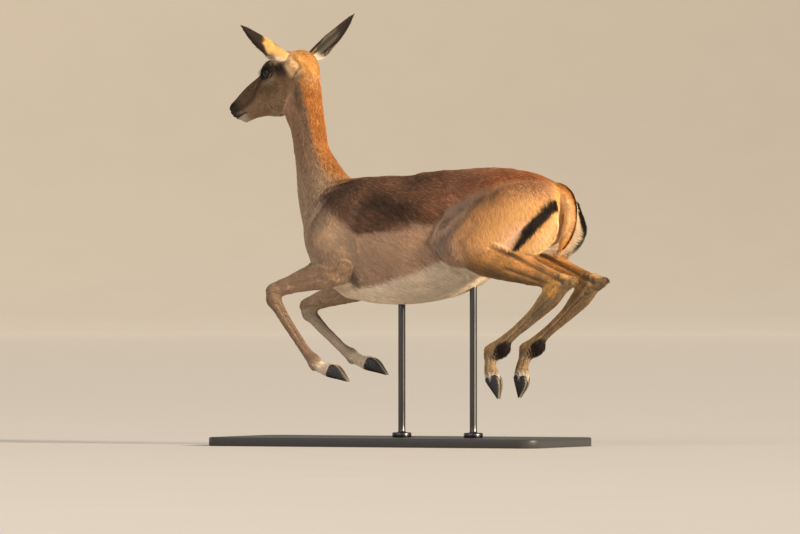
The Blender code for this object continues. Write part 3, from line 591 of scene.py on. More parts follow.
# The almond between the lids: half length, half height, tilt and squareness.
LID_LONG, LID_HIGH, LID_TILT, LID_POWER = 0.0138, 0.01, math.radians(-20), 1.7
LID_SUNK = 0.72  # the share of the almond within which the skin sinks behind the eyeball
# How far the jaw's corner and the nose's bridge stand out from the plan's head.
JAW_DEEPER, BRIDGE_FULLER = 0.009, 0.0042
MOST_TRIANGLES = 190000  # of the skin

# Lines of the head in side view: back and up of each point, width, height (below nought for a groove).
HEAD_LINES = (
    (((-0.004, -0.022), (0.006, -0.026), (0.02, -0.029), (0.041, -0.0285), (0.046, -0.031)),
     0.0014, -0.0026),
    (((-0.002, -0.03), (0.01, -0.035), (0.028, -0.037)), 0.003, -0.0008),
    (((0.022, 0.012), (0.031, 0.0), (0.034, -0.016)), 0.005, -0.001),
    (((0.055, -0.006), (0.1, -0.005), (0.135, 0.004)), 0.006, 0.0012),
    (((0.142, 0.016), (0.124, 0.013), (0.098, 0.01)), 0.0035, -0.0014),
    (((0.116, -0.018), (0.114, -0.055), (0.13, -0.082)), 0.011, -0.0009),
    (((0.182, 0.012), (0.205, 0.006), (0.226, 0.006)), 0.006, 0.002),
    (((0.188, 0.036), (0.21, 0.034)), 0.01, -0.003),
    (((0.215, -0.03), (0.224, -0.055), (0.212, -0.085)), 0.012, -0.0014),
    (((0.01, -0.01), (0.02, -0.0145), (0.036, -0.015)), 0.006, 0.0009),
)
MOUTH = HEAD_LINES[0][0]
NOSTRIL = ((0.0, -0.003), (0.003, 0.003), (0.008, 0.0068), (0.014, 0.0066))
# Lines of the body in side view, the same on both sides: x and z, width, height.
BODY_LINES = (
    (((0.155, 0.575), (0.136, 0.55), (0.127, 0.512), (0.141, 0.483), (0.167, 0.447), (0.205, 0.424)),
     0.008, -0.0055),
    (((0.275, 0.622), (0.2, 0.59), (0.158, 0.548), (0.148, 0.512), (0.16, 0.485)), 0.012, 0.003),
    (((0.178, 0.615), (0.215, 0.6)), 0.028, -0.006),
    (((0.255, 0.652), (0.275, 0.65)), 0.016, 0.004),
    (((-0.085, 0.6), (-0.098, 0.56), (-0.108, 0.5), (-0.1, 0.455)), 0.015, -0.001),
    (((-0.095, 0.64), (-0.15, 0.57), (-0.188, 0.51)), 0.016, 0.0018),
    (((-0.212, 0.52), (-0.216, 0.495)), 0.022, 0.0026),
    (((-0.1, 0.452), (-0.09, 0.432), (-0.096, 0.412)), 0.005, -0.0045),
    (((-0.082, 0.52), (-0.073, 0.465), (-0.062, 0.415)), 0.009, 0.0011),
    (((-0.3, 0.81), (-0.285, 0.73), (-0.265, 0.65), (-0.245, 0.59)), 0.011, -0.0036),
    (((-0.232, 0.87), (-0.214, 0.77), (-0.186, 0.69)), 0.012, -0.0018),
    (((-0.196, 0.625), (-0.176, 0.655), (-0.126, 0.668)), 0.004, -0.0028),
    (((-0.205, 0.6), (-0.184, 0.634), (-0.146, 0.652)), 0.006, -0.0012),
    (((0.42, 0.575), (0.35, 0.52), (0.3, 0.48)), 0.014, -0.0026),
    (((0.25, 0.56), (0.215, 0.52), (0.222, 0.48)), 0.014, -0.002),
)
# Lines along the legs: joints, then share and shift to the plus side, width, height.
HIND_LINES = (
    (("stifle", "hock", "heel"), ((0.3, 0.03), (0.7, 0.016), (1.1, 0.004)), 0.006, -0.0042),
    (("stifle", "hock", "heel"), ((0.35, 0.04), (0.75, 0.026), (1.3, 0.012)), 0.0045, 0.0022),
    (("stifle", "hock", "heel"), ((0.5, -0.012), (0.9, -0.012)), 0.006, -0.0024),
    (("heel", "hock", "fetlock"), ((1.1, 0.008), (1.4, 0.006), (1.8, 0.004)), 0.0026, -0.0022),
    (("heel", "hock", "fetlock"), ((1.02, -0.004), (1.14, -0.002)), 0.006, 0.0018),
    (("fetlock", "pastern", "coronet"), ((0.2, 0.004), (1.4, 0.002)), 0.0022, -0.0012),
)
FORE_LINES = (
    (("elbow", "wrist"), ((0.25, 0.01), (0.7, 0.006)), 0.006, -0.0024),
    (("wrist", "carpus", "fetlock"), ((1.12, 0.004), (1.45, 0.003), (1.82, 0.003)), 0.0026, -0.0012),
    (("elbow", "wrist"), ((0.9, 0.0), (1.0, 0.002)), 0.006, 0.0014),
    (("fetlock", "pastern", "coronet"), ((0.2, 0.004), (1.4, 0.002)), 0.0022, -0.0012),
)


def axis_samples():
    """Points along the axis of every form: place, way, side, plus, radius, form and share."""
    names, parts = [], []
    rows = {name: spline(rows, 5) for name, (rows, _) in FORMS.items()}
    rows["tail"] = spline(TAIL, 5)
    for name, row in rows.items():
        way, side, plus = axes_of(row[:, :3])
        radius = np.maximum((row[:, 3] + row[:, 4] + row[:, 5]) / 3, 0.006)
        parts.append((row[:, :3], way, side, plus, radius, np.linspace(0, 1, len(row))))
        names.append(name)
    for word, plan in EARS.items():
        root, axis, across, cup = ear_frame(*plan)
        share = np.linspace(0.08, 1, 24)
        place = root + share[:, None] * axis + (EAR_BOW * np.sin(math.pi * share))[:, None] * across
        ones = np.ones((24, 1))
        parts.append((place, ones * unit(axis), ones * across, -ones * cup, np.full(24, 0.017), share))
        names.append("ear_" + word)
    form = np.repeat(np.arange(len(parts)), [len(part[0]) for part in parts])
    columns = [np.concatenate([part[i] for part in parts]) for i in range(6)]
    return names, form, *columns


FORM_NAMES, AX_FORM, AX_PLACE, AX_WAY, AX_SIDE, AX_PLUS, AX_RADIUS, AX_SHARE = axis_samples()


def nearest_axis(points, chunk=60000):
    """The axis sample that each point belongs to: the least distance, counted in radii."""
    places, radii = AX_PLACE.astype(np.float32), AX_RADIUS.astype(np.float32)
    found = []
    for start in range(0, len(points), chunk):
        part = points[start:start + chunk].astype(np.float32)
        apart = ((part**2).sum(1)[:, None] - 2 * part @ places.T + (places**2).sum(1)) / radii**2
        found.append(apart.argmin(1))
    return np.concatenate(found)


def groove(away, width, height):
    """A rounded groove or ridge: height times e to the minus square of distance over width."""
    return height * np.exp(-(away / width) ** 2)


def stroke(flat, path, width, height):
    """A groove or ridge along a path in a flat view, or as strong a stroke of colour."""
    return groove(off_path(flat, path)[0], width, height)


def about(points, place, reach):
    """One at a place, falling off round it as a groove does."""
    return groove(norm(points - place), reach, 1.0)


def leg_line(leg, names, line):
    """A line along leg joints, as x and z in side view."""
    rows = np.array([(share, shift, 0.01, 0.01, 0.01) for share, shift in line])
    return limb_rows(leg, names, rows)[:, (0, 2)]


def carved(points, normals, sample):
    """Every fold, groove and ridge of the skin, as one height along the normal."""
    height = np.zeros(len(points))
    form = AX_FORM[sample]
    facing = ramp(np.abs(normals[:, 1]), 0.15, 0.5)
    flat = points[:, (0, 2)]
    body = form < 2
    for name in ("thigh", "gaskin", "blade", "upper_arm"):
        body |= np.isin(form, [i for i, word in enumerate(FORM_NAMES) if word.endswith(name)])
    for path, width, rise in BODY_LINES:
        near = body & (np.abs(flat - np.mean(path, 0)).max(1) < 0.22)
        height[near] += stroke(flat[near], path, width, rise) * facing[near]
    for leg_name, leg in LEGS.items():
        own = np.isin(form, [i for i, word in enumerate(FORM_NAMES) if word.startswith(leg_name)])
        for names, line, width, rise in HIND_LINES if "hind" in leg_name else FORE_LINES:
            path = leg_line(leg, names, line)
            height[own] += stroke(flat[own], path, width, rise) * facing[own]
    place = in_head(points)
    head = (form == FORM_NAMES.index("head")) & (place[:, 0] < 0.25)
    local = place[head]
    face = np.zeros(len(local))
    for path, width, rise in HEAD_LINES:
        face += stroke(local[:, (0, 2)], path, width, rise)
    inner = ramp(np.abs(local[:, 1]), 0.0035, 0.006)
    away = off_path(local[:, (0, 2)], NOSTRIL)[0]
    face += groove(away, 0.0023, -0.006) * inner + groove(away - 0.0045, 0.002, 0.0012) * inner
    front = (ramp(local[:, 0], 0.012, 0.004) * ramp(local[:, 2], -0.004, -0.008)
             * ramp(local[:, 2], -0.03, -0.024))
    face += groove(local[:, 1], 0.0012, -0.0014) * front
    height[head] += face
    return height


def eye_axes(side):
    """Centre of an eye, the way it looks, its forward way and its up way, in the head's frame."""
    look = unit(np.array((-0.22, side, 0.06)))
    fore = unit(np.array((-1.0, 0.0, 0.0)) - look * (-look[0]))
    up = unit(np.cross(look, fore)) * np.sign(np.cross(look, fore)[2])
    turn = math.cos(LID_TILT), math.sin(LID_TILT)
    return EYE_CENTRE * (1, side, 1), look, fore * turn[0] + up * turn[1], up * turn[0] - fore * turn[1]


def almond(p, q, high):
    """One on the lids' rim, less inside: (|p / long|^n + |q / high|^n)^(1/n), n being their squareness."""
    return ((np.abs(p) / LID_LONG) ** LID_POWER + (np.abs(q) / high) ** LID_POWER) ** (1 / LID_POWER)


def opened_lids(points):
    """Opens the lids: an almond cut whose rim stands on the eyeball and whose inside sinks behind it."""
    place = in_head(points)
    for side in (-1, 1):
        centre, look, fore, up = eye_axes(side)
        near = norm(place - centre) < 0.034
        w = place[near] - centre
        depth, p, q = w @ look, w @ fore, w @ up
        e = almond(p, q, np.where(q > 0, LID_HIGH * 1.08, LID_HIGH * 0.92))
        outside = depth > 0
        rho = norm(w)
        grow = np.where(outside & (e < 1.0) & (e > LID_SUNK), 1 / np.maximum(e, LID_SUNK), 1.0)
        want = np.where(e < LID_SUNK, EYE_RADIUS - 0.0045, rho)
        want = np.where((e >= LID_SUNK) & (e < 1.0), EYE_RADIUS + 0.0004, want)
        # Folds above and below the opening, following the almond.
        crease = groove(e - np.where(q > 0, 1.52, 1.62), 0.1, np.where(q > 0, -0.002, -0.0012))
        brim = groove(e - 1.16, 0.14, 0.0008)
        want = np.where(e >= 1.0, rho + crease + brim, want)
        across = np.stack((p * grow, q * grow), 1)
        flat = np.minimum((across**2).sum(1), want**2 * 0.98)
        new = look * np.sqrt(want**2 - flat)[:, None] + fore * across[:, :1] + up * across[:, 1:]
        w = np.where(outside[:, None] & (e < 2.4)[:, None], new, w)
        place[near] = centre + w
    return np.array(NOSE) + place @ HEAD_TURN.T


def whole_skin():
    """The skin of the whole body as points and triangles, carved and drawn in by the coat's depth."""
    points, edges, quads = fine_body()
    tris = np.vstack((quads[:, (0, 1, 2)], quads[:, (0, 2, 3)]))
    points = eased(points, edges, 2)
    for side in (-1, 1):
        ear_root, eye = mirrored(EAR_ROOT, side), mirrored(EYE_CENTRE, side)
        points = eased(points, edges, 10, norm(points - ear_root) < 0.03)
        ring = np.abs(norm(points - eye) - 0.019) < 0.006
        points = eased(points, edges, 8, ring)
    tail_root = np.array(TAIL[1][:3])
    points = eased(points, edges, 16, norm(points - tail_root) < 0.04)
    points = fuller(points)
    sample = nearest_axis(points)
    normals = normals_of(points, tris)
    depth = coat_depth(sample)
    rise = carved(points, normals, sample) - eased(depth[:, None], edges, 12)[:, 0]
    points = points + normals * rise[:, None]
    points = eased(points, edges, 1)
    points = opened_lids(points)
    skin = new_piece("coat_skin", points, quads)
    return finished(skin, "DECIMATE", ratio=MOST_TRIANGLES / (2 * len(quads)))


def fuller(points):
    """Deepens the corner of the jaw and fills the bridge of the nose, as bells of e to the minus square."""
    place = in_head(points)
    back, up = place[:, 0], place[:, 2]
    jaw = JAW_DEEPER * np.exp(-((back - 0.128) ** 2 + (up + 0.078) ** 2) / 0.034**2)
    bridge = (BRIDGE_FULLER * np.exp(-(((back - 0.068) / 0.034) ** 2)) * ramp(up, -0.006, 0.012)
              * (np.abs(place[:, 1]) < 0.06))
    return points - jaw[:, None] * (0, 0, 1) + bridge[:, None] * HEAD_TURN[:, 2]


def coat_depth(sample):
    """How far the skin lies under the tips of the coat, by form."""
    depth = np.full(len(FORM_NAMES), 0.0022)
    for i, name in enumerate(FORM_NAMES):
        if "cannon" in name or "foot" in name or "forearm" in name or name == "head":
            depth[i] = 0.0012
        if name.startswith("ear"):
            depth[i] = 0.0005
    return depth[AX_FORM[sample]]


# ---- finishes ----


def finish_of(name, rough, bump=0.0, grain=400.0, mottle=0.0, colour=None, **sockets):
    """A finish that reads the colour carried by the piece, mottled and bumped with fine noise."""
    made = bpy.data.materials.new(name)
    made.use_nodes = True
    nodes, links = made.node_tree.nodes, made.node_tree.links

    def node(kind, **values):
        """A new node with its inputs set."""
        new = nodes.new("ShaderNode" + kind)
        for socket, value in values.items():
            new.inputs[socket.replace("_", " ")].default_value = value
        return new

    shader = nodes["Principled BSDF"]
    for socket, value in {"Roughness": rough, **sockets}.items():
        shader.inputs[socket.replace("_", " ")].default_value = value
    noise = node("TexNoise", Scale=grain, Detail=4.0)
    links.new(node("TexCoord").outputs["Object"], noise.inputs["Vector"])
    paint = node("Attribute" if colour is None else "RGB")
    if colour is None:
        paint.attribute_name = "Coat"
    else:
        paint.outputs[0].default_value = (*colour, 1.0)
    spread = node("MapRange", From_Min=0.3, From_Max=0.7, To_Min=1 - mottle, To_Max=1 + mottle)
    links.new(noise.outputs["Fac"], spread.inputs["Value"])
    mix = node("VectorMath")
    mix.operation = "SCALE"
    links.new(paint.outputs["Color"], mix.inputs[0])
    links.new(spread.outputs["Result"], mix.inputs["Scale"])
    links.new(mix.outputs["Vector"], shader.inputs["Base Color"])
    if bump:
        relief = node("Bump", Strength=1.0, Distance=bump)
        links.new(noise.outputs["Fac"], relief.inputs["Height"])
        links.new(relief.outputs["Normal"], shader.inputs["Normal"])
    return made


def painted(piece, colours, finish):
    """Gives a piece its finish and the colour at each of its points."""
    layer = piece.data.attributes.new("Coat", "FLOAT_COLOR", "POINT")
    rgba = np.ones((len(piece.data.vertices), 4), np.float32)
    rgba[:, :3] = colours
    layer.data.foreach_set("color", rgba.ravel())
    piece.data.materials.clear()
    piece.data.materials.append(finish)
    return piece


# ---- markings: one colour for each point of the skin, which the coat takes too ----

HUES = dict(
    saddle=(0.092, 0.052, 0.035), saddle_tip_glint=(0.36, 0.175, 0.095), rump=(0.39, 0.135, 0.045),
    flank=(0.47, 0.305, 0.205), belly=(0.72, 0.6, 0.47), shoulder=(0.43, 0.298, 0.205),
    neck_front=(0.33, 0.2, 0.125), nape=(0.41, 0.147, 0.028), poll=(0.58, 0.31, 0.095),
    crown=(0.6, 0.35, 0.125), cheek=(0.272, 0.158, 0.08), face=(0.15, 0.085, 0.05),
    face_dark=(0.055, 0.034, 0.022), muzzle=(0.019, 0.011, 0.007), chin=(0.44, 0.37, 0.3),
    ear=(0.66, 0.38, 0.13), ear_base=(0.54, 0.375, 0.21), ear_dark=(0.016, 0.008, 0.005),
    ear_inside=(0.034, 0.029, 0.022), white=(0.82, 0.74, 0.62), black=(0.012, 0.006, 0.004),
    thigh=(0.68, 0.36, 0.14), thigh_fore=(0.35, 0.235, 0.175), thigh_highlight=(0.86, 0.53, 0.22),
    thigh_pink_highlight=(0.84, 0.54, 0.37), buttock=(0.86, 0.5, 0.19), tail=(0.68, 0.29, 0.045),
    gaskin=(0.57, 0.3, 0.105), hock=(0.2, 0.13, 0.068), heel=(0.07, 0.045, 0.03),
    cannon=(0.33, 0.225, 0.125), gold_highlight=(0.62, 0.35, 0.1), bister=(0.12, 0.075, 0.042),
    sock=(0.62, 0.57, 0.51), pastern=(0.72, 0.62, 0.48), forearm=(0.43, 0.285, 0.19),
)
HUES = {name: np.array(hue) for name, hue in HUES.items()}
# Edges of the saddle and of the white belly in side view: x and z.
SADDLE_EDGE = ((-0.3, 0.66), (-0.26, 0.64), (-0.1835, 0.611), (-0.1526, 0.59), (-0.1197, 0.5575),
               (-0.0877, 0.532), (-0.0376, 0.534), (0.017, 0.54), (0.0628, 0.546), (0.1074, 0.5525),
               (0.135, 0.561), (0.162, 0.586), (0.181, 0.6075), (0.2087, 0.623), (0.244, 0.636),
               (0.291, 0.645), (0.36, 0.655), (0.45, 0.66))
BELLY_EDGE = ((-0.22, 0.4), (-0.11, 0.395), (-0.042, 0.405), (0.0126, 0.4175), (0.058, 0.43),
              (0.103, 0.445), (0.15, 0.465), (0.22, 0.47))
# The pale buttock behind each stripe: how far behind it begins and is full, and its colour.
BEHIND = {-1: (0.02, 0.05, (0.86, 0.6, 0.32)), 1: (0.004, 0.02, (0.86, 0.7, 0.5))}
# The black buttock stripes: places down each, and half widths.
STRIPE = {-1: ((0.458, -0.087, 0.626), (0.442, -0.099, 0.604), (0.421, -0.108, 0.573), (0.399, -0.113, 0.548),
               (0.377, -0.113, 0.523), (0.351, -0.108, 0.491)),
          1: ((0.447, 0.068, 0.622), (0.466, 0.076, 0.597), (0.473, 0.079, 0.57), (0.47, 0.079, 0.535),
              (0.455, 0.078, 0.497), (0.43, 0.078, 0.468))}
STRIPE_WIDE = (0.01, 0.0125, 0.013, 0.012, 0.0092, 0.0045)


def waver(points, pitch, seed):
    """Smooth noise: the mean of six sines of random ways and phases, about one wave per pitch."""
    chance = np.random.default_rng(seed)
    ways = unit(chance.normal(size=(6, 3))) * (2 * math.pi / pitch) * chance.uniform(0.6, 1.5, (6, 1))
    return np.sin(points @ ways.T + chance.uniform(0, 6.28, 6)).mean(1) * 1.6


def part_share(sample, edges, passes, *words):
    """One where a point belongs to the named forms, nought elsewhere, eased across their borders."""
    chosen = np.array([any(word in name for word in words) for name in FORM_NAMES])
    return eased(chosen[AX_FORM[sample]].astype(float)[:, None], edges, passes)[:, 0]


def plain(hue, points):
    """One hue at every point."""
    return np.repeat(HUES[hue][None], len(points), 0)


def degrees_about(points, sample):
    """Degrees round the axis of each point's form, from its plus side, the same to left and right."""
    rel = points - AX_PLACE[sample]
    return np.degrees(np.arctan2(np.abs((rel * AX_SIDE[sample]).sum(1)), (rel * AX_PLUS[sample]).sum(1)))


def lay(colour, share, hue):
    """Lays a hue, named or given as a colour, over the colours, as much as share says."""
    share = np.clip(share, 0, 1)[:, None]
    return colour * (1 - share) + (HUES[hue] if isinstance(hue, str) else hue) * share


def beside(points, path, widths, seen, way):
    """Distance from a line in one flat view, its half width, and how far to the given way of it."""
    order = np.array(path)
    away, wide = off_path(points[:, seen], order[:, seen], widths)
    middle = np.stack([np.interp(-points[:, 2], -order[:, 2], order[:, k]) for k in range(3)], 1)
    return away, wide, (points - middle) @ np.array(way)


def body_marks(points, normals, sample, edges):
    """Saddle, flank and belly, shoulder and neck, by side view; thighs by distance from their stripes."""
    x, _, z = points.T
    fine, broad = waver(points, 0.009, 1), waver(points, 0.05, 2)
    streak = waver(points * (0.35, 1, 1), 0.006, 3)
    flat = points[:, (0, 2)]
    crisp = ramp(x, -0.12, -0.07) * ramp(x, 0.22, 0.17)
    edge = np.interp(x, *np.transpose(SADDLE_EDGE)) + 0.002 * fine + 0.003 * broad
    soft = 0.003 + 0.018 * (1 - crisp)
    colour = plain("flank", points)
    front = ramp(x + 0.2 * (z - 0.5), -0.03, -0.125)
    colour = lay(colour, front, "shoulder")
    colour = lay(colour, ramp(x, 0.17, 0.3) * 0.6, "thigh")
    # The flank pales a little just under the saddle.
    under = ramp(edge - z, 0.0, 0.01) * ramp(edge - z, 0.08, 0.02) * crisp
    colour *= (1 + 0.08 * under)[:, None]
    fore_line = np.interp(z, (0.59, 0.625, 0.655, 0.67), (-0.208, -0.194, -0.166, -0.11)) + 0.004 * fine
    saddle = ramp(z - edge, -soft, soft) * ramp(x - fore_line, -0.008, 0.014)
    patch = waver(points * (0.6, 1, 1), 0.075, 8)
    # Painted highlights on the saddle: a warm glow over the loin and orange streaks high at the withers.
    rise = 0.15 * groove(x - 0.15, 0.07, 1.0) * ramp(z, 0.59, 0.63)
    rise += stroke(flat, ((-0.07, 0.655), (0.0, 0.668)), 0.03, 0.22)
    # Painted shade: a dark band low along the middle of the saddle.
    shade = stroke(flat, ((-0.02, 0.595), (0.09, 0.59)), 0.04, 0.36)
    # Mottled warm hair tips and painted glints, with the painted highlights above added in.
    tips_and_highlights = np.clip(0.16 + 0.24 * streak + 0.2 * patch + rise, 0, 1) * ramp(x, -0.16, -0.06)
    top = HUES["saddle"] * (1 + 0.2 * patch - tips_and_highlights)[:, None] + HUES["saddle_tip_glint"] * tips_and_highlights[:, None]
    # Painted shade darkens the middle of the saddle, and painted light brightens it toward the rump.
    top *= (1 - shade + 0.85 * ramp(x, 0.07, 0.2))[:, None]
    top = lay(top, ramp(z - edge, 0.055, 0.0) * (1 - crisp) * 0.55 * ramp(x, 0.1, 0.2), "rump")
    top = lay(top, ramp(x, 0.03, 0.2) * 0.24 + ramp(x, 0.18, 0.36) * 0.56, "rump")
    top = lay(top, ramp(x, -0.12, -0.2) * 0.25, "neck_front")
    belly_edge = np.interp(x, *np.transpose(BELLY_EDGE)) + 0.0025 * fine + 0.002 * broad
    belly = ramp(belly_edge - z, -0.003, 0.004) * ramp(x, -0.2, -0.12)
    belly = np.maximum(belly, ramp(-normals[:, 2], 0.55, 0.8) * ramp(x, -0.26, -0.2) * ramp(z, 0.47, 0.44))
    colour = lay(colour, belly, "belly")
    colour *= (1 + 0.22 * belly * ramp(x, 0.06, -0.04))[:, None]
    # Neck: an orange nape, a grey front, and a dark streaky band between them near the head.
    neck = part_share(sample, edges, 14, "neck")
    around = degrees_about(points, sample)
    nape_edge = np.interp(z, (0.62, 0.7, 0.84, 0.9, 0.95), (150, 125, 122, 100, 80)) + 7 * fine + 6 * broad
    nape = ramp(around, nape_edge - 9, nape_edge + 11)
    own = lay(plain("neck_front", points), nape, "nape")
    own = lay(own, ramp(z, 0.75, 0.63) * 0.92 * (1 - 0.6 * nape), "shoulder")
    own *= (1 - 0.2 * nape * ramp(z, 0.8, 0.7))[:, None]
    own = lay(own, nape * ramp(z, 0.86, 0.95) * 0.7, "poll")
    own *= (1 + 0.35 * ramp(around, 80, 45) * ramp(z, 0.8, 0.86))[:, None]
    band = np.exp(-((around - nape_edge + 19) / 17) ** 2) * ramp(z, 0.62, 0.82) * ramp(z, 0.935, 0.89)
    own = lay(own, band * (0.68 + 0.25 * fine), "face_dark")
    own = lay(own, np.exp(-((around - 150) / 30) ** 2) * 0.22, "crown")
    own *= (1 + 0.1 * streak)[:, None]
    colour = lay(lay(colour, neck, own), saddle, top)
    colour = thigh_marks(colour, points, normals, sample, edges, fine, broad, streak)
    # Painted shade along the fold at the top front of the thigh.
    brim = stroke(flat, ((0.16, 0.566), (0.19, 0.592), (0.235, 0.612), (0.29, 0.628)), 0.019, 0.55)
    colour = lay(colour, brim, (0.17, 0.115, 0.085))
    # Painted shade in creases: behind the elbow, where neck meets withers, and along the flank fold.
    facing = ramp(np.abs(normals[:, 1]), 0.1, 0.4)
    for path, wide, strength in (
            (((-0.1, 0.456), (-0.09, 0.434), (-0.094, 0.408)), 0.0075, 0.75),
            (((-0.196, 0.625), (-0.176, 0.655), (-0.126, 0.668)), 0.005, 0.35),
            (((-0.205, 0.6), (-0.184, 0.634), (-0.146, 0.652)), 0.005, 0.3),
            (((0.136, 0.55), (0.127, 0.512), (0.141, 0.483)), 0.006, 0.25)):
        crease = stroke(flat, path, wide, strength)
        colour = lay(colour, crease * facing * (x > -0.3), "face_dark")
    return colour, streak, fine


def thigh_marks(colour, points, normals, sample, edges, fine, broad, streak):
    """Thigh: grey tan in front, orange tan, a painted highlight before the stripe, golden cream behind it,
    white within.
    """
    x, y, z = points.T
    thigh = part_share(sample, edges, 14, "thigh") * ramp(z + 0.25 * x, 0.75, 0.69)
    for side in (-1, 1):
        own_side = y * side > 0
        seen, way = ((0, 2), (0.85, 0.5, 0.1)) if side < 0 else ((1, 2), (0.2, -0.97, 0.0))
        away, wide, behind = beside(points, STRIPE[side], STRIPE_WIDE, seen, way)
        outer = own_side & ((normals[:, 1] * side > -0.1) if side < 0 else (x > 0.4))
        leg = lay(plain("thigh_fore", points), ramp(x + 0.02 * broad, 0.16, 0.28), "thigh")
        leg = lay(leg, ramp(z - 0.3 * x, 0.49, 0.56) * 0.5 * ramp(x, 0.19, 0.29), "rump")
        # Painted highlight: a pale band, pinker low down, just before the stripe.
        leg = lay(leg, ramp(away + 0.004 * broad, 0.115, 0.02), "thigh_highlight")
        pink_highlight = ramp(away + 0.006 * broad, 0.06, 0.02) * ramp(z - 0.3 * x, 0.47, 0.43) * 0.8
        leg = lay(leg, pink_highlight, "thigh_pink_highlight")
        colour = lay(colour, np.where(own_side, thigh, 0), leg)
        rear = own_side & (x > 0.25) & (z > 0.36)
        reach = np.where(rear, ramp(behind, -0.002, 0.003), 0) * ramp(z - 0.2 * x, 0.59, 0.56)
        colour = lay(colour, reach * ramp(x, 0.3, 0.36), "buttock")
        start, full, hue = BEHIND[side]
        colour = lay(colour, reach * ramp(behind, start, full), hue)
        inner = ramp(-normals[:, 1] * side, 0.25, 0.7) * ramp(x, 0.12, 0.2) * ramp(z, 0.34, 0.38)
        colour = lay(colour, np.where(own_side, inner, 0) * ramp(z, 0.66, 0.6), "belly")
        rough = wide * (1 + 0.12 * fine + 0.08 * streak)
        stripe = np.where(outer, ramp(away, rough + 0.0012, rough - 0.0012), 0)
        colour = lay(colour, stripe * ramp(y * side, 0.042, 0.054), "black")
    return colour


def leg_marks(colour, points, normals, sample, edges, streak):
    """Legs by their joints: grey tan above, painted shade down the cannons' fronts, painted gold highlights,
    white pasterns, a black gland tuft.
    """
    fore = part_share(sample, edges, 10, "upper_arm", "forearm", "fore_left.cannon", "fore_right.cannon")
    arm = part_share(sample, edges, 14, "upper_arm")
    colour = lay(colour, fore, "forearm")
    colour = lay(colour, arm * 0.7, "shoulder")
    elbow = stroke(points[:, (0, 2)], ((-0.155, 0.47), (-0.112, 0.44)), 0.032, 0.3)
    shin = part_share(sample, edges, 8, "fore_left.cannon", "fore_right.cannon")
    colour *= (1 - elbow - 0.31 * shin)[:, None]
    colour = lay(colour, part_share(sample, edges, 10, "gaskin"), "gaskin")
    for part, passes in (("cannon", 8), ("foot", 6)):
        lower = part_share(sample, edges, passes, "hind_left." + part, "hind_right." + part)
        colour = lay(colour, lower, "cannon")
    rel = points - AX_PLACE[sample]
    plus = (rel * AX_PLUS[sample]).sum(1) / np.maximum(norm(rel), 1e-6)
    limbs = part_share(sample, edges, 6, "forearm", "gaskin", "cannon", "foot")
    for leg_name, leg in LEGS.items():
        side = -1 if leg_name.endswith("left") else 1
        hind = leg_name.startswith("hind")
        own = part_share(sample, edges, 3, leg_name + ".")
        cannon = part_share(sample, edges, 4, leg_name + ".cannon")
        joints = {name: np.array(place) for name, place in leg.items()}
        inward = ramp(-normals[:, 1] * side, 0.35, 0.85) * own * limbs
        strength, hue = (0.12, "bister") if hind else (0.22 + 0.42 * shin, "belly")
        colour = lay(colour, inward * strength, HUES[hue])
        if hind:
            gaskin = part_share(sample, edges, 6, leg_name + ".gaskin")
            smudge = ramp(waver(points * (1, 1, 0.7), 0.04, 53), 0.05, 0.5)
            smudge *= part_share(sample, edges, 6, leg_name + ".gaskin", leg_name + ".cannon")
            colour = lay(colour, smudge * 0.4, "bister")
            # Painted shade on the underside of the gaskin.
            colour = lay(colour, gaskin * ramp(-normals[:, 2], -0.2, 0.6) * 0.72, "bister")
            colour = lay(colour, about(points, joints["hock"], 0.045) * own * 0.75, "hock")
            # The left hock gets more painted gold highlight than the right one, and its heel less black.
            speck_highlight, bend_highlight, heel = (0.35, 0.9, 0.25) if side < 0 else (0.1, 0.0, 0.9)
            blotch = waver(points, 0.03, 52)
            # Painted highlights: gold specks round the hock and a gold patch at the bend.
            highlight_specks = about(points, joints["hock"], 0.04) * own * ramp(blotch, 0.05, 0.5)
            colour = lay(colour, highlight_specks * speck_highlight, "gold_highlight")
            bend = norm(points[:, (0, 2)] - (0.449, 0.398)) * (1 + 0.3 * blotch)
            colour = lay(colour, ramp(bend, 0.028, 0.016) * own * bend_highlight, "gold_highlight")
            colour = lay(colour, about(points, joints["heel"], 0.017) * own * heel, "heel")
            # Painted highlight down the back of the hind cannon, painted shade down its front.
            colour = lay(colour, cannon * ramp(-plus + 0.15 * blotch, 0.45, 0.95) * 0.65, "gold_highlight")
            colour = lay(colour, cannon * ramp(plus, 0.0, 0.8) * 0.36, "face_dark")
            colour = lay(colour, ramp(from_gland(points, leg)[0], 1.12, 0.92) * own, "black")
        else:
            colour = lay(colour, about(points, joints["carpus"], 0.026) * own * 0.35, "hock")
            # Painted shade down the front of the fore cannon.
            colour = lay(colour, cannon * ramp(plus, 0.2, 0.9) * 0.25, "face_dark")
            colour = lay(colour, about(points, joints["fetlock"], 0.016) * own * 0.35, "pastern")
            dew = joints["fetlock"] + 0.1 * (joints["coronet"] - joints["fetlock"])
            spot = about(points, dew, 0.019) * own * ramp(-plus, 0.35, 0.8)
            colour = lay(colour, spot * 0.8, "bister")
        foot = part_share(sample, edges, 2, leg_name + ".foot")
        way = joints["coronet"] - joints["fetlock"]
        share = (points - joints["fetlock"]) @ way / (way @ way)
        start, sock = (0.64, "sock") if hind else (0.05, "pastern")
        colour = lay(colour, foot * ramp(share + 0.08 * streak, start, start + 0.22), HUES[sock])
        front = foot * ramp(share + 0.05 * streak, 0.8, 1.0) * ramp(plus, -0.2, 0.6)
        colour = lay(colour, front * 0.6, "gaskin")
        colour = lay(colour, foot * ramp(share, 1.02, 1.12) * 0.85, "heel")
    return colour


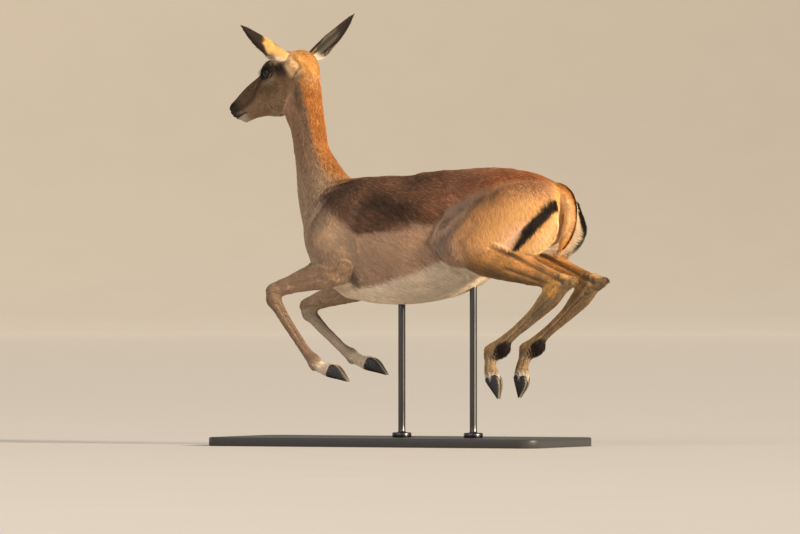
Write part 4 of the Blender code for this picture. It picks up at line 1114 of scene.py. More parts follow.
def tail_marks(colour, points, sample, edges, fine):
    """Tail by the angle round it: a black line down the outer face, brown beside it, white elsewhere."""
    tail = part_share(sample, edges, 4, "tail")
    around = degrees_about(points, sample)
    share = AX_SHARE[sample]
    own = lay(plain("tail", points), ramp(around + 5 * fine, 128, 146), "white")
    bands = np.clip(0.5 + 0.5 * np.sin(share * 75), 0, 1)
    own = lay(own, bands * ramp(around, 40, 80) * 0.55, (0.86, 0.62, 0.34))
    own = lay(own, ramp(around + 6 * fine, 34, 20) * ramp(share, 0.18, 0.34), "black")
    own = lay(own, ramp(share, 0.9, 1.0) * ramp(around, 20, 60), "white")
    own = lay(own, ramp(share, 0.22, 0.08), "thigh")
    return lay(colour, tail, own)


def ear_marks(colour, points, sample, edges, fine):
    """Ears: tan backs and insides painted near-black grey as shade, black in a V at the tip and along the
    rims.
    """
    for word in EARS:
        across, cup, share, middle, half, edge = on_ear(points, word)[1:]
        tip = 0.5 - 0.17 * ramp(edge, 0.15, 1.0) + 0.02 * fine
        back = lay(plain("ear", points), ramp(edge + 0.2 * fine, 0.0, 0.6) * 0.45, "ear_base")
        back = lay(back, ramp(share, tip, tip + 0.08), "ear_dark")
        back = lay(back, ramp(edge, 0.78, 0.94) * ramp(share, 0.2, 0.3), "ear_dark")
        back = lay(back, ramp(edge, 0.55, 0.85) * ramp(share, 0.3, 0.2), "white")
        back = lay(back, ramp(share, 0.16, 0.0) * 0.5, "ear_base")
        if word == "right":
            rim = np.maximum(ramp(-edge, 0.15, 0.45), ramp(-edge, -0.3, 0.05) * ramp(share, 0.34, 0.22))
            back = lay(back, rim * ramp(share, -0.1, -0.02) * 0.88, "ear_dark")
        # Inside the cup: a near-black grey that is painted shade, with a touch of white toward the rims.
        cupped = lay(plain("ear_inside", points), ramp(np.abs(edge), 0.1, 0.45) * 0.06, "white")
        cupped = lay(cupped, ramp(edge, 0.52, 0.7) * ramp(share, 0.16, 0.3), "ear_dark")
        cupped = lay(cupped, ramp(share + 0.04 * fine, 0.58, 0.68), "ear_dark")
        cupped = lay(cupped, ramp(np.abs(edge), 0.86, 0.97) * ramp(share, 0.16, 0.28), "ear_dark")
        cupped = lay(cupped, ramp(share, 0.24, 0.1) * ramp(edge, 0.1, 0.5), "white")
        own = part_share(sample, edges, 2, "ear_" + word)
        colour = lay(colour, own, lay(back, ear_inside(points, middle, across, cup, half), cupped))
    return colour


def ear_inside(points, middle, across, cup, half):
    """One on the inner wall of an ear: nearer the curl's axis than the middle of the wall."""
    radius = half * 1.13
    rel = points - middle
    side, rise = rel @ across, rel @ cup - 0.6 * radius
    return ramp(np.hypot(side, rise), radius + 0.0004, radius - 0.0008)


# Soft strokes on both sides of the face: path, width, strength, the half widths where it comes in, hue.
FACE_STROKES = dict(
    edge=((((0.133, 0.021), (0.101, 0.001), (0.08, -0.011), (0.06, -0.013), (0.034, -0.016)),
           0.0055, 0.85, 0.008, 0.014, "face_dark"),
          (((0.12, 0.022), (0.09, 0.008)), 0.004, 0.35, 0.012, 0.018, "cheek")),
    side=((((0.165, 0.012), (0.205, -0.004)), 0.014, 0.4, 0.02, 0.03, "face_dark"),
          (((0.118, -0.006), (0.138, -0.013), (0.152, -0.012)), 0.015, 0.38, 0.014, 0.022, "face_dark"),
          (((0.137, 0.003), (0.151, -0.0005), (0.164, 0.002)), 0.005, 0.5, 0.02, 0.03, "chin")),
    # rear: painted shade in the creases at the back of the head.
    rear=((((0.243, 0.034), (0.2505, 0.006), (0.246, -0.008), (0.2265, -0.014), (0.211, -0.03)),
           0.0024, 0.75, 0.02, 0.03, "face_dark"),
          (((0.196, 0.05), (0.206, 0.04), (0.213, 0.022)), 0.003, 0.55, 0.02, 0.03, "face_dark")),
    jaw=((((0.15, -0.052), (0.085, -0.04)), 0.026, 0.45, 0.012, 0.02, "shoulder"),),
    lip=((((0.02, -0.021), (0.032, -0.0225)), 0.003, 0.45, 0.008, 0.014, "chin"),),
)


def stroked(own, flat, wide, rows):
    """A colour with soft strokes laid over it in turn."""
    for path, width, strength, low, high, hue in rows:
        own = lay(own, stroke(flat, path, width, strength) * ramp(wide, low, high), hue)
    return own


def head_marks(colour, points, sample, edges, fine, streak):
    """Head in its own frame: dark bridge, muzzle, eye patch, white brow crescent, pale chin, painted light on
    the ear base and painted shade in creases at the back.
    """
    head = part_share(sample, edges, 6, "head")
    place = in_head(points)
    back, right, up = place.T
    wide = np.abs(right)
    flat = np.stack((back, up), 1)
    own = plain("cheek", points)
    own = lay(own, ramp(back, 0.16, 0.06) * ramp(up, -0.01, -0.035) * 0.65, "neck_front")
    # Above the line from the eye's front corner to the muzzle all is dark, paler along the bridge's edge.
    level = np.interp(back, (0.034, 0.06, 0.08, 0.101, 0.127, 0.15),
                      (-0.016, -0.0134, -0.012, 0.002, 0.0205, 0.04))
    above = ramp(up - level + 0.001 * fine, -0.003, 0.004) * ramp(back, 0.15, 0.135)
    own = lay(own, above, "face")
    own = stroked(own, flat, wide, FACE_STROKES["edge"])
    ridge = ramp(up, 0.014, 0.03) * ramp(wide, 0.02, 0.008) * ramp(back, 0.03, 0.06)
    own = lay(own, ridge * 0.45, "face_dark")
    # Forehead and poll, then the dark patch round the eye and the base of the ear, pale tan brightened by
    # painted light.
    top = ramp(back, 0.135, 0.165) * ramp(up, 0.024, 0.04) * ramp(wide, 0.032, 0.018)
    own = lay(own, top, "crown")
    own = lay(own, ramp(back + 0.3 * up, 0.222, 0.244), "poll")
    patch = off_path(flat, ((0.14, 0.04), (0.16, 0.04), (0.182, 0.03), (0.2, 0.01)))[0]
    own = lay(own, ramp(patch, 0.025, 0.006) * ramp(wide, 0.014, 0.022), "face_dark")
    base = off_path(flat, ((0.192, 0.052), (0.214, 0.046), (0.227, 0.026), (0.228, -0.004)))[0]
    own = stroked(own, flat, wide, FACE_STROKES["side"])
    # Painted light brightens the skull beside the ear's root.
    own = lay(own, ramp(base, 0.026, 0.008) * ramp(wide, 0.014, 0.024) * 0.92, (0.84, 0.61, 0.36))
    # Painted shade in the creases at the back of the head.
    own = stroked(own, flat, wide, FACE_STROKES["rear"])
    crescent = off_path(flat, ((0.146, 0.05), (0.16, 0.056), (0.176, 0.0555), (0.189, 0.048)))[0]
    own = lay(own, ramp(crescent, 0.005, 0.003) * ramp(wide, 0.012, 0.019), "white")
    own = stroked(own, flat, wide, FACE_STROKES["jaw"])
    throat = ramp(up, -0.052, -0.07) * ramp(wide, 0.03, 0.016) * ramp(back, 0.04, 0.1)
    own = lay(own, throat * 0.45, "chin")
    # Muzzle: dark over the lip to the mouth's corner, black at the nose pad, pale under the mouth.
    lip = np.interp(back, (-0.004, 0.006, 0.02, 0.041), (-0.022, -0.026, -0.029, -0.0285))
    dark = ramp(back + 0.4 * np.abs(up + 0.006), 0.054, 0.034) * ramp(up - lip, -0.001, 0.003)
    own = lay(own, dark * 0.85, "face_dark")
    own = lay(own, ramp(back, 0.036, 0.018) * ramp(up - lip, -0.001, 0.003), "muzzle")
    own = stroked(own, flat, wide, FACE_STROKES["lip"])
    chin = ramp(up - lip, -0.001, -0.003) * ramp(back, 0.047, 0.034)
    own = lay(own, chin, "chin")
    own = lay(own, ramp(up - lip, -0.001, -0.003) * ramp(back, 0.01, 0.003) * 0.8, "face_dark")
    own = lay(own, stroke(flat, NOSTRIL, 0.0022, 1.0) * ramp(wide, 0.003, 0.0055), HUES["black"] * 0.6)
    own = lay(own, stroke(flat, MOUTH, 0.0017, 0.95), "black")
    for side in (-1, 1):
        centre, look, fore, high = eye_axes(side)
        w = place - centre
        q = w @ high
        e = almond(w @ fore, q, LID_HIGH)
        close = (w @ look > 0) & (norm(w) < 0.032)
        brow = ramp(q / LID_HIGH, -0.2, 0.9)
        own = lay(own, np.where(close, ramp(e, 1.4 + 0.24 * brow, 1.24 + 0.1 * brow), 0), "black")
        front_corner = norm(w - fore * 0.017 - look * 0.01 + high * 0.002)
        own = lay(own, groove(front_corner, 0.0055, 0.9), "black")
        rear_corner = norm(w + fore * 0.0175 - look * 0.006 + high * 0.006)
        own = lay(own, groove(rear_corner, 0.007, 0.85), "face_dark")
    grain = waver(points, 0.0055, 61) * 0.18 + waver(points, 0.016, 62) * 0.16
    own *= (1 + grain * ramp(back, 0.05, 0.12) + 0.1 * streak)[:, None]
    return lay(colour, head, own)


def marks(points, normals, sample, edges):
    """The whole body's colour at every point of the skin."""
    colour, streak, fine = body_marks(points, normals, sample, edges)
    colour = leg_marks(colour, points, normals, sample, edges, streak)
    colour = tail_marks(colour, points, sample, edges, fine)
    colour = head_marks(colour, points, sample, edges, fine, streak)
    colour = ear_marks(colour, points, sample, edges, fine)
    return np.clip(colour * (1 + 0.05 * waver(points, 0.03, 7))[:, None], 0.004, 0.86)


# ---- eyes, claws and stand ----


def eyeball(side):
    """A ball with a low cornea: its radius rises as e to the minus square of the angle from the look."""
    centre, look, fore, up = eye_axes(side)
    tilt = np.linspace(0.02, math.pi - 0.02, 60)[:, None]
    turn = whole_turn(72) * side
    radius = EYE_RADIUS - 0.0004 + 0.001 * np.exp(-(tilt / 0.5) ** 2)
    p, q = radius * np.sin(tilt) * np.cos(turn), radius * np.sin(tilt) * np.sin(turn)
    out = radius * np.cos(tilt) + 0 * q
    local = centre + out[..., None] * look + p[..., None] * fore + q[..., None] * up
    grid = np.array(NOSE) + local @ HEAD_TURN.T
    points, quads, caps = closed(grid)
    p, q = (np.append(v.ravel(), (0.0, 0.0)) for v in (p, q))
    away = np.hypot(p, q)
    pupil = ramp(np.hypot(p / 0.0068, q / 0.0032), 1.12, 0.92)
    iris = ramp(away, 0.0112, 0.0096)
    streak = 0.75 + 0.25 * np.sin(np.arctan2(q, p) * 46 + 9 * away / 0.01)
    colour = np.outer(iris * streak, (0.022, 0.01, 0.005)) + np.outer(1 - iris, (0.006, 0.004, 0.004))
    colour = colour * (1 - pupil)[:, None] + np.outer(pupil, (0.001, 0.001, 0.002))
    ball_piece = new_piece("eyeball_" + ("left" if side < 0 else "right"), points, quads, caps)
    return painted(ball_piece, colour, EYE_FINISH)


CLAW_SPREAD = 0.01
# Rows of a claw: share from coronet to tip, half width, reach to the sole, reach to the front wall.
CLAW = (
    (-0.16, 0.005, 0.009, 0.009), (-0.12, 0.0078, 0.014, 0.013), (0.0, 0.0088, 0.018, 0.0165),
    (0.25, 0.0092, 0.019, 0.0135), (0.5, 0.0082, 0.015, 0.0092), (0.75, 0.006, 0.008, 0.0052),
    (0.95, 0.003, 0.0024, 0.0022), (1.0, 0.0014, 0.001, 0.001),
)


def claw(name, leg, side):
    """A horn wedge: rings of a flattened oval, shallow growth rings, a pale sole edge and inner face."""
    start, tip = np.array(leg["coronet"]), np.array(leg["toe"])
    axis = tip - start
    way = unit(axis)
    across = unit(SIDEWAYS - way * way[1]) * side
    sole = unit(np.cross(way, SIDEWAYS))
    rows = spline(CLAW, 9)
    share = rows[:, :1]
    turn = whole_turn(40)[None]
    c, s = np.cos(turn), np.sin(turn)
    out = np.sign(c) * np.abs(c) ** 0.85 * rows[:, 1:2] * np.where(c > 0, 1.0, 0.8)
    rise = np.sign(s) * np.abs(s) ** 0.92 * np.where(s > 0, rows[:, 2:3], rows[:, 3:4])
    ring = 1 + 0.012 * np.sin(share * 38 + 0.6 * c) * ramp(share, 0.02, 0.15)
    middle = start + share * axis + across * CLAW_SPREAD * (1 - 0.35 * np.maximum(share, 0))
    grid = middle[:, None] + (out * ring)[..., None] * across + (rise * ring)[..., None] * sole
    points, quads, caps = closed(grid if side < 0 else grid[:, ::-1])
    pale = ramp(-c, 0.55, 0.95) * ramp(s, -0.75, -0.1) * 0.75 + ramp(s, 0.86, 0.99) * 0.35
    pale = pale * ramp(share, 0.0, 0.2) + 0 * s
    pale = pale if side < 0 else pale[:, ::-1]
    wear = ramp(share, 0.86, 1.0) * 0.25 + 0 * s
    dark = np.array((0.016, 0.015, 0.019))
    shade = dark + pale[..., None] * (np.array((0.46, 0.37, 0.25)) - dark) + wear[..., None] * 0.08
    colours = np.vstack((shade.reshape(-1, 3), shade[0, :1], shade[-1, :1]))
    return painted(new_piece(name, points, quads, caps), colours, HORN_FINISH)


BASE_SIZE, BASE_CORNER, BASE_EDGE = (0.9, 0.4, 0.022), 0.045, 0.004
ROD_RADIUS, COLLAR_RADIUS, COLLAR_HEIGHT = 0.009, 0.024, 0.012
RODS = {"stand_rod_front": (0.005, 0.366), "stand_rod_rear": (0.2, 0.416)}


def stand_plate():
    """A rounded rectangle drawn up into a plate: quarter circles at its corners and round its top edge."""
    bend = np.linspace(0, math.pi / 2, 7)
    inset = np.concatenate(((0.0012, 0.0, 0.0), BASE_EDGE * (1 - np.cos(bend))))
    level = np.concatenate(((0.0, 0.0012, BASE_SIZE[2] - BASE_EDGE - 0.002),
                            BASE_SIZE[2] - BASE_EDGE + BASE_EDGE * np.sin(bend)))
    inset = np.concatenate((inset, (0.03, 0.08, 0.14)))
    level = np.concatenate((level, np.full(3, BASE_SIZE[2])))
    turn = (np.arange(96) + 0.5) / 96 * 2 * math.pi
    corner = np.maximum(BASE_CORNER - inset, 0.001)[:, None]
    shift = np.maximum(inset - BASE_CORNER, 0)[:, None]
    x = np.copysign(BASE_SIZE[0] / 2 - BASE_CORNER - shift, np.cos(turn)) + corner * np.cos(turn)
    y = np.copysign(BASE_SIZE[1] / 2 - BASE_CORNER - shift, np.sin(turn)) + corner * np.sin(turn)
    grid = np.stack((x, y, np.repeat(level[:, None], 96, 1)), -1)
    points, quads, caps = closed(grid[:, ::-1])
    return new_piece("stand_plate", points, quads, caps)


def stand_post(name, x, top):
    """A turned rod: a profile of radius and height spun about its own line."""
    foot = BASE_SIZE[2] + 0.0003
    collar = foot + COLLAR_HEIGHT
    profile = np.array((
        (COLLAR_RADIUS - 0.001, foot), (COLLAR_RADIUS, foot + 0.001), (COLLAR_RADIUS, collar - 0.003),
        (COLLAR_RADIUS - 0.0009, collar - 0.0009), (COLLAR_RADIUS - 0.003, collar),
        (ROD_RADIUS + 0.003, collar + 0.0002), (ROD_RADIUS + 0.0008, collar + 0.0012),
        (ROD_RADIUS, collar + 0.004), (ROD_RADIUS, collar + 0.02), (ROD_RADIUS, top - 0.02),
        (ROD_RADIUS, top - 0.001)))
    turn = whole_turn(48)
    grid = np.stack((x + profile[:, :1] * np.cos(turn), profile[:, :1] * np.sin(turn),
                     np.repeat(profile[:, 1:], 48, 1)), -1)
    points, quads, caps = closed(grid[:, ::-1])
    return new_piece(name, points, quads, caps)


# ---- coat: how it lies, and the locks that grow on the skin ----

# Length, width and lift of the locks, and locks to the square centimetre, by the last word of a form.
LOCKS = {
    "trunk": (0.015, 0.0018, 0.0008, 15), "neck": (0.0125, 0.0015, 0.0008, 20),
    "head": (0.0065, 0.001, 0.0006, 46), "thigh": (0.014, 0.0016, 0.0006, 17),
    "gaskin": (0.01, 0.0014, 0.0008, 22), "cannon": (0.0075, 0.0011, 0.0006, 26),
    "foot": (0.0065, 0.0011, 0.0007, 34), "blade": (0.014, 0.0017, 0.0007, 16),
    "upper_arm": (0.012, 0.0017, 0.0009, 18), "forearm": (0.009, 0.0013, 0.0007, 24),
    "tail": (0.014, 0.0014, 0.0022, 40), "ear": (0.006, 0.001, 0.0004, 36),
}
# The way the coat lies on the broad forms; on the others it follows the form's axis.
WAYS = {"trunk": (1.0, 0, -0.3), "thigh": (0.4, 0, -0.92), "blade": (0.62, 0, -0.78),
        "upper_arm": (0.75, 0, -0.66)}


def kind_of(name):
    """The key of a form in the lists above."""
    last = name.split(".")[-1]
    return "ear" if last.startswith("ear") else last


def settled(vectors, normals):
    """Vectors laid flat on the surface and brought to length one."""
    return unit(vectors - normals * (vectors * normals).sum(1)[:, None])


def lie_of(points, normals, sample, edges):
    """The way the coat lies: along each form's axis, laid on the surface and eased over the seams."""
    ways = AX_WAY.copy()
    neck = AX_FORM == FORM_NAMES.index("neck")
    ways[neck] *= -1
    for i, name in enumerate(FORM_NAMES):
        if kind_of(name) in WAYS:
            ways[AX_FORM == i] = unit(np.array(WAYS[kind_of(name)]))
    lie = ways[sample]
    x, y, z = points.T
    # The coat parts along the spine and turns down over the ribs.
    down = np.stack((np.zeros(len(x)), np.zeros(len(x)), -ramp(np.abs(y), 0.02, 0.09) * 0.35), 1)
    lie = settled(lie + np.where((z > 0.35)[:, None], down, 0), normals)
    for _ in range(3):
        lie = settled(eased(lie, edges, 9), normals)
    turn = 0.16 * waver(points, 0.05, 21) + 0.1 * waver(points, 0.017, 22)
    return settled(lie + np.cross(normals, lie) * turn[:, None], normals)


def sown(points, tris, weight, count, chance):
    """Places sown over the triangles, as dense as area times weight: triangles and their corners' shares."""
    a, b, c = (points[tris[:, k]] for k in range(3))
    area = norm(np.cross(b - a, c - a))
    chosen = area * weight[tris].mean(1)
    total = np.cumsum(chosen)
    spot = (np.arange(count) + chance.random(count)) / count * total[-1]
    face = np.searchsorted(total, spot).clip(0, len(tris) - 1)
    a, b = chance.random((2, count))
    flip = a + b > 1
    a, b = np.where(flip, 1 - a, a), np.where(flip, 1 - b, b)
    return tris[face], np.stack((1 - a - b, a, b), 1)


def mixed(values, corners, shares):
    """Values at the sown places, blended from the corners of their triangles."""
    return (values[corners] * shares[..., None]).sum(1)


def charted(points, sample):
    """A place for every skin point on an unwrap of the body: each form rolled out flat in its own cell."""
    form, share = AX_FORM[sample], AX_SHARE[sample]
    rel = points - AX_PLACE[sample]
    along = share + (rel * AX_WAY[sample]).sum(1) / 0.8
    around = np.arctan2((rel * AX_SIDE[sample]).sum(1), (rel * AX_PLUS[sample]).sum(1)) / (2 * math.pi) + 0.5
    cells = np.zeros((len(FORM_NAMES), 4))
    large = {"trunk": (0, 0, 1, 0.3), "neck": (0, 0.3, 0.5, 0.2), "head": (0.5, 0.3, 0.5, 0.2)}
    other = 0
    for i, name in enumerate(FORM_NAMES):
        if name in large:
            cells[i] = large[name]
        else:
            cells[i] = (other % 6 / 6, 0.5 + other // 6 * 0.12, 1 / 6, 0.12)
            other += 1
    x, y, wide, high = cells[form].T
    return np.stack((x + wide * (0.03 + 0.94 * np.clip(along, 0, 1)), y + high * (0.04 + 0.92 * around)), 1)


def coat_piece(name, points, faces, colours, chart):
    """A joined mesh of locks, with the colour of each point and its place on the unwrap."""
    piece = new_piece(name, points, (), faces, smooth=False)
    painted(piece, colours, COAT_FINISH)
    layer = piece.data.uv_layers.new(name="OFBake")
    layer.data.foreach_set("uv", chart[faces.ravel()].astype(np.float32).ravel())
    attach(piece, "root")
    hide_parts(*FLESH)
    return piece


def short_locks(root, lie, normal, size, colour, chart, tip_colour):
    """Flat blades: two root corners under the skin, a raised crown, and a tip; four triangles each."""
    across = np.cross(lie, normal)
    length, width, lift = size.T[..., None]
    base = root - normal * 0.0006
    left, right = base - across * width / 2, base + across * width / 2
    crown = root + lie * length * 0.42 + normal * lift
    tip = root + lie * length + normal * lift * 0.55
    points = np.stack((left, right, crown, tip), 1).reshape(-1, 3)
    start = (np.arange(len(root)) * 4)[:, None, None]
    faces = (start + np.array(((0, 2, 1), (0, 3, 2), (1, 2, 3), (0, 1, 3)))).reshape(-1, 3)
    shades = np.stack((colour * 0.8, colour * 0.8, colour, tip_colour), 1).reshape(-1, 3)
    corner = np.array(((-0.0013, -0.0012), (0.0013, -0.0012), (0.0002, 0.0004), (0, 0.0014)))
    uv = (chart[:, None] + corner).reshape(-1, 2)
    return points, faces, shades, uv


def long_locks(root, way, bend, length, width, colour, tip_colour, chart, stations=4):
    """Three-sided curved hairs: place = root + way s + bend s squared; the width falls to the tip."""
    s = np.linspace(0, 1, stations)
    spine = (root[:, None] + way[:, None] * (length[:, None] * s)[..., None]
             + bend[:, None] * (length[:, None] * s**2)[..., None])
    across = unit(np.cross(way, bend + 1e-4 * np.array((0.3, 0.5, 0.8))))
    other = unit(np.cross(way, across))
    girth = (width[:, None] * (1 - s**1.5) ** 0.8 * 0.5)[..., None, None]
    turn = np.arange(3) * 2 * math.pi / 3
    ring = np.cos(turn)[None, :, None] * across[:, None] + np.sin(turn)[None, :, None] * other[:, None] * 0.6
    tube = spine[:, :-1, None] + girth[:, :-1] * ring[:, None]
    points = np.concatenate((tube.reshape(len(root), -1, 3), spine[:, -1:]), 1)
    count = points.shape[1]
    faces = []
    for i in range(stations - 2):
        for k in range(3):
            a, b = i * 3 + k, i * 3 + (k + 1) % 3
            faces += [(a, b, b + 3), (a, b + 3, a + 3)]
    last = (stations - 2) * 3
    faces += [(last + k, last + (k + 1) % 3, count - 1) for k in range(3)]
    faces += [(0, 2, 1)]
    faces = (np.arange(len(root))[:, None, None] * count + np.array(faces)).reshape(-1, 3)
    level = np.append(np.repeat(s[:-1], 3), 1.0)[None, :, None]
    shades = (colour[:, None] * (1 - level) + tip_colour[:, None] * level).reshape(-1, 3)
    column = np.append(np.tile((-0.0013, 0.0, 0.0013), stations - 1), 0)
    row = level[0, :, 0] * 0.0028 - 0.0014 + 0.0001 * np.abs(column) * 1000
    uv = chart[:, None] + np.stack((column, row), -1)
    return points.reshape(-1, 3), faces, shades, uv.reshape(-1, 2)


SHORT_COUNT, PER_PIECE = 236000, 47500


def grow_short(points, normals, tris, sample, edges, lie, colours, chart):
    """The short coat over the whole skin, sown by density and split into pieces."""
    chance = np.random.default_rng(31)
    table = np.array([LOCKS[kind_of(name)] for name in FORM_NAMES])
    size = eased(table[AX_FORM[sample]], edges, 14)
    place = in_head(points)
    muzzle = ramp(place[:, 0], 0.075, 0.02) * (AX_FORM[sample] == FORM_NAMES.index("head"))
    size[:, :3] *= (1 - 0.55 * muzzle)[:, None]
    for side in (-1, 1):
        near = norm(place - EYE_CENTRE * (1, side, 1))
        size[:, :3] *= (1 - 0.6 * ramp(near, 0.03, 0.018))[:, None]
    bare = bare_of(place)
    weight = size[:, 3] * (1 - bare)
    corners, shares = sown(points, tris, weight, SHORT_COUNT, chance)
    root, normal = mixed(points, corners, shares), unit(mixed(normals, corners, shares))
    way = settled(mixed(lie, corners, shares), normal)
    swing = chance.normal(0, 0.1, len(root))[:, None]
    way = settled(way + np.cross(normal, way) * swing, normal)
    sizes = mixed(size[:, :3], corners, shares) * chance.uniform(0.7, 1.25, (len(root), 1))
    sizes[:, 2] *= chance.uniform(0.35, 1.3, len(root))
    colour = mixed(colours, corners, shares)
    fine = ramp(sizes[:, 0], 0.012, 0.007)
    own = chance.normal(0, 1, len(root)) * (0.11 + 0.1 * fine) + 0.08 * waver(root, 0.011, 41)
    colour = colour * np.exp(own)[:, None]
    # Here and there a painted glint: a paler hair on the dark saddle.
    dark = ramp(-colour.sum(1), -0.45, -0.3)
    painted_glint = (chance.random(len(root)) < 0.15 * dark * ramp(root[:, 2], 0.5, 0.56))[:, None]
    colour = np.where(painted_glint & (np.abs(root[:, :1] - 0.1) < 0.36), colour * (2.0, 1.9, 1.75), colour)
    tip = colour * chance.uniform(1.02, 1.16, (len(root), 1))
    unwrap = mixed(chart, corners, shares)
    unwrap = np.where(np.ptp(chart[corners], axis=1).max(1)[:, None] > 0.03, chart[corners[:, 0]], unwrap)
    order = np.argsort(AX_FORM[sample[corners[:, 0]]] * 10 + root[:, 0], kind="stable")
    for n, start in enumerate(range(0, len(order), PER_PIECE)):
        part = order[start:start + PER_PIECE]
        locks = (each[part] for each in (root, way, normal, sizes, colour, unwrap, tip))
        coat_piece(f"coat_short_{n + 1}", *short_locks(*locks))


def bare_of(place):
    """One where nothing grows: nose pad, nostrils, mouth line and eyelid rims."""
    flat = place[:, (0, 2)]
    head = place[:, 0] < 0.26
    bare = np.where(head, ramp(place[:, 0] + 0.25 * np.abs(place[:, 2] + 0.006), 0.015, 0.011), 0)
    bare = np.maximum(bare, np.where(head, stroke(flat, MOUTH, 0.0016, 1.0), 0))
    beside_nose = head & (np.abs(place[:, 1]) > 0.004)
    bare = np.maximum(bare, np.where(beside_nose, stroke(flat, NOSTRIL, 0.003, 1.0), 0))
    for side in (-1, 1):
        centre, look, fore, high = eye_axes(side)
        w = place - centre
        e = almond(w @ fore, w @ high, LID_HIGH)
        close = (w @ look > 0) & (norm(w) < 0.032)
        bare = np.maximum(bare, np.where(close, ramp(e, 1.28, 1.16), 0))
    return bare


def fringe(points, normals, tris, lie, colours, chart, weight, count, chance, look):
    """Long hairs sown by weight: look holds their length, width, lift, droop, swing, and the share and
    colour of their tips."""
    length, width, lift, droop, swing, shade = look
    corners, shares = sown(points, tris, weight, count, chance)
    root, normal = mixed(points, corners, shares), unit(mixed(normals, corners, shares))
    way = settled(mixed(lie, corners, shares), normal)
    way = settled(way + np.cross(normal, way) * chance.normal(0, swing, len(root))[:, None], normal)
    rise = lift * chance.uniform(0.5, 1.4, (len(root), 1))
    out = unit(way + normal * rise)
    bend = way * 0.1 - normal * rise * 0.55 + np.array((0, 0, -droop))
    bend = bend + chance.normal(0, 0.05, (len(root), 3))
    full = np.clip(mixed(weight[:, None], corners, shares)[:, 0], 0.35, 1)
    spans = length * chance.uniform(0.55, 1.2, len(root)) * full
    colour = mixed(colours, corners, shares) * np.exp(chance.normal(0, 0.12, len(root)))[:, None]
    tips = colour * (1 - shade[0]) + np.array(shade[1]) * shade[0]
    sides = np.full(len(root), width) * chance.uniform(0.7, 1.2, len(root))
    return long_locks(root - normal * 0.0008, out, bend, spans, sides, colour, tips, chart[corners[:, 0]])


def stacked(parts):
    """Several sets of locks as one: points, faces, shades and chart."""
    points, faces, shades, charts = zip(*parts)
    starts = np.cumsum([0] + [len(each) for each in points[:-1]])
    faces = [each + start for each, start in zip(faces, starts)]
    return np.vstack(points), np.vstack(faces), np.vstack(shades), np.vstack(charts)


DARK_TIP, PALE_TIP = (0.05, 0.03, 0.02), (0.84, 0.76, 0.62)


def grow_long(points, normals, tris, sample, lie, colours, chart):
    """Longer hair where the animal has it: tail, ears, gland tufts, claws, stripes, groin, brisket, chin."""
    chance = np.random.default_rng(77)

    def grown(weight, count, look, way=None):
        """One fringe of hairs along the coat's own lie, or along the way given."""
        ways = lie if way is None else settled(way, normals)
        return fringe(points, normals, tris, ways, colours, chart, weight, count, chance, look)

    coat_piece("coat_tail_brush", *tail_brush(grown, points, sample))
    coat_piece("coat_ear_fringe", *ear_fringes(grown, points, sample))
    coat_piece("coat_feet_hair", *feet_hair(grown, points))
    coat_piece("coat_long_hair", *body_hair(grown, points, normals, sample))
    coat_piece("coat_lashes", *stacked(lashes(chance)))


def tail_brush(grown, points, sample):
    """A soft brush along the tail, longest at its edges and tip, turned outward by its side way."""
    share = AX_SHARE[sample]
    tail = (AX_FORM[sample] == FORM_NAMES.index("tail")).astype(float)
    rel = points - AX_PLACE[sample]
    out = (rel * AX_SIDE[sample]).sum(1)
    edge = np.abs(out) / np.maximum(norm(rel), 1e-6)
    way = AX_WAY[sample] + AX_SIDE[sample] * (np.sign(out) * 0.35)[:, None]
    plan = tail * (0.35 + 0.65 * edge) * (0.5 + 0.5 * ramp(share, 0.1, 0.7))
    return grown(plan, 5200, (0.022, 0.0011, 0.3, 0.1, 0.12, (0.45, (0.8, 0.47, 0.17))), way)


def ear_fringes(grown, points, sample):
    """A pale fringe inside the lower rim of each ear, and fine hair along the upper rim and the tip."""
    fringes = []
    for word in EARS:
        axis, across, cup, share, middle, half, edge = on_ear(points, word)
        own = (AX_FORM[sample] == FORM_NAMES.index("ear_" + word)).astype(float)
        inner = own * ear_inside(points, middle, across, cup, half)
        lower = inner * ramp(edge, 0.5, 0.8) * ramp(share, 0.02, 0.12) * ramp(share, 0.7, 0.35)
        fringes.append(grown(lower, 1300, (0.0085, 0.0007, 0.3, 0.02, 0.18, (0.95, PALE_TIP)),
                             unit(axis) * 0.9 + across * 0.5 + cup * 0.25))
        root_hair = own * ramp(share, 0.26, 0.08) * ramp(edge, 0.3, 0.7)
        fringes.append(grown(root_hair, 700, (0.0105, 0.0007, 0.4, 0.0, 0.2, (0.9, PALE_TIP)),
                             unit(axis) + across * 0.2))
        upper = own * ramp(edge, -0.6, -0.95) * ramp(share, 0.02, 0.12)
        fringes.append(grown(upper, 500, (0.006, 0.0006, 0.3, 0.0, 0.15, (0.2, (0.1, 0.06, 0.03))),
                             unit(axis) - across * 0.4))
    return stacked(fringes)


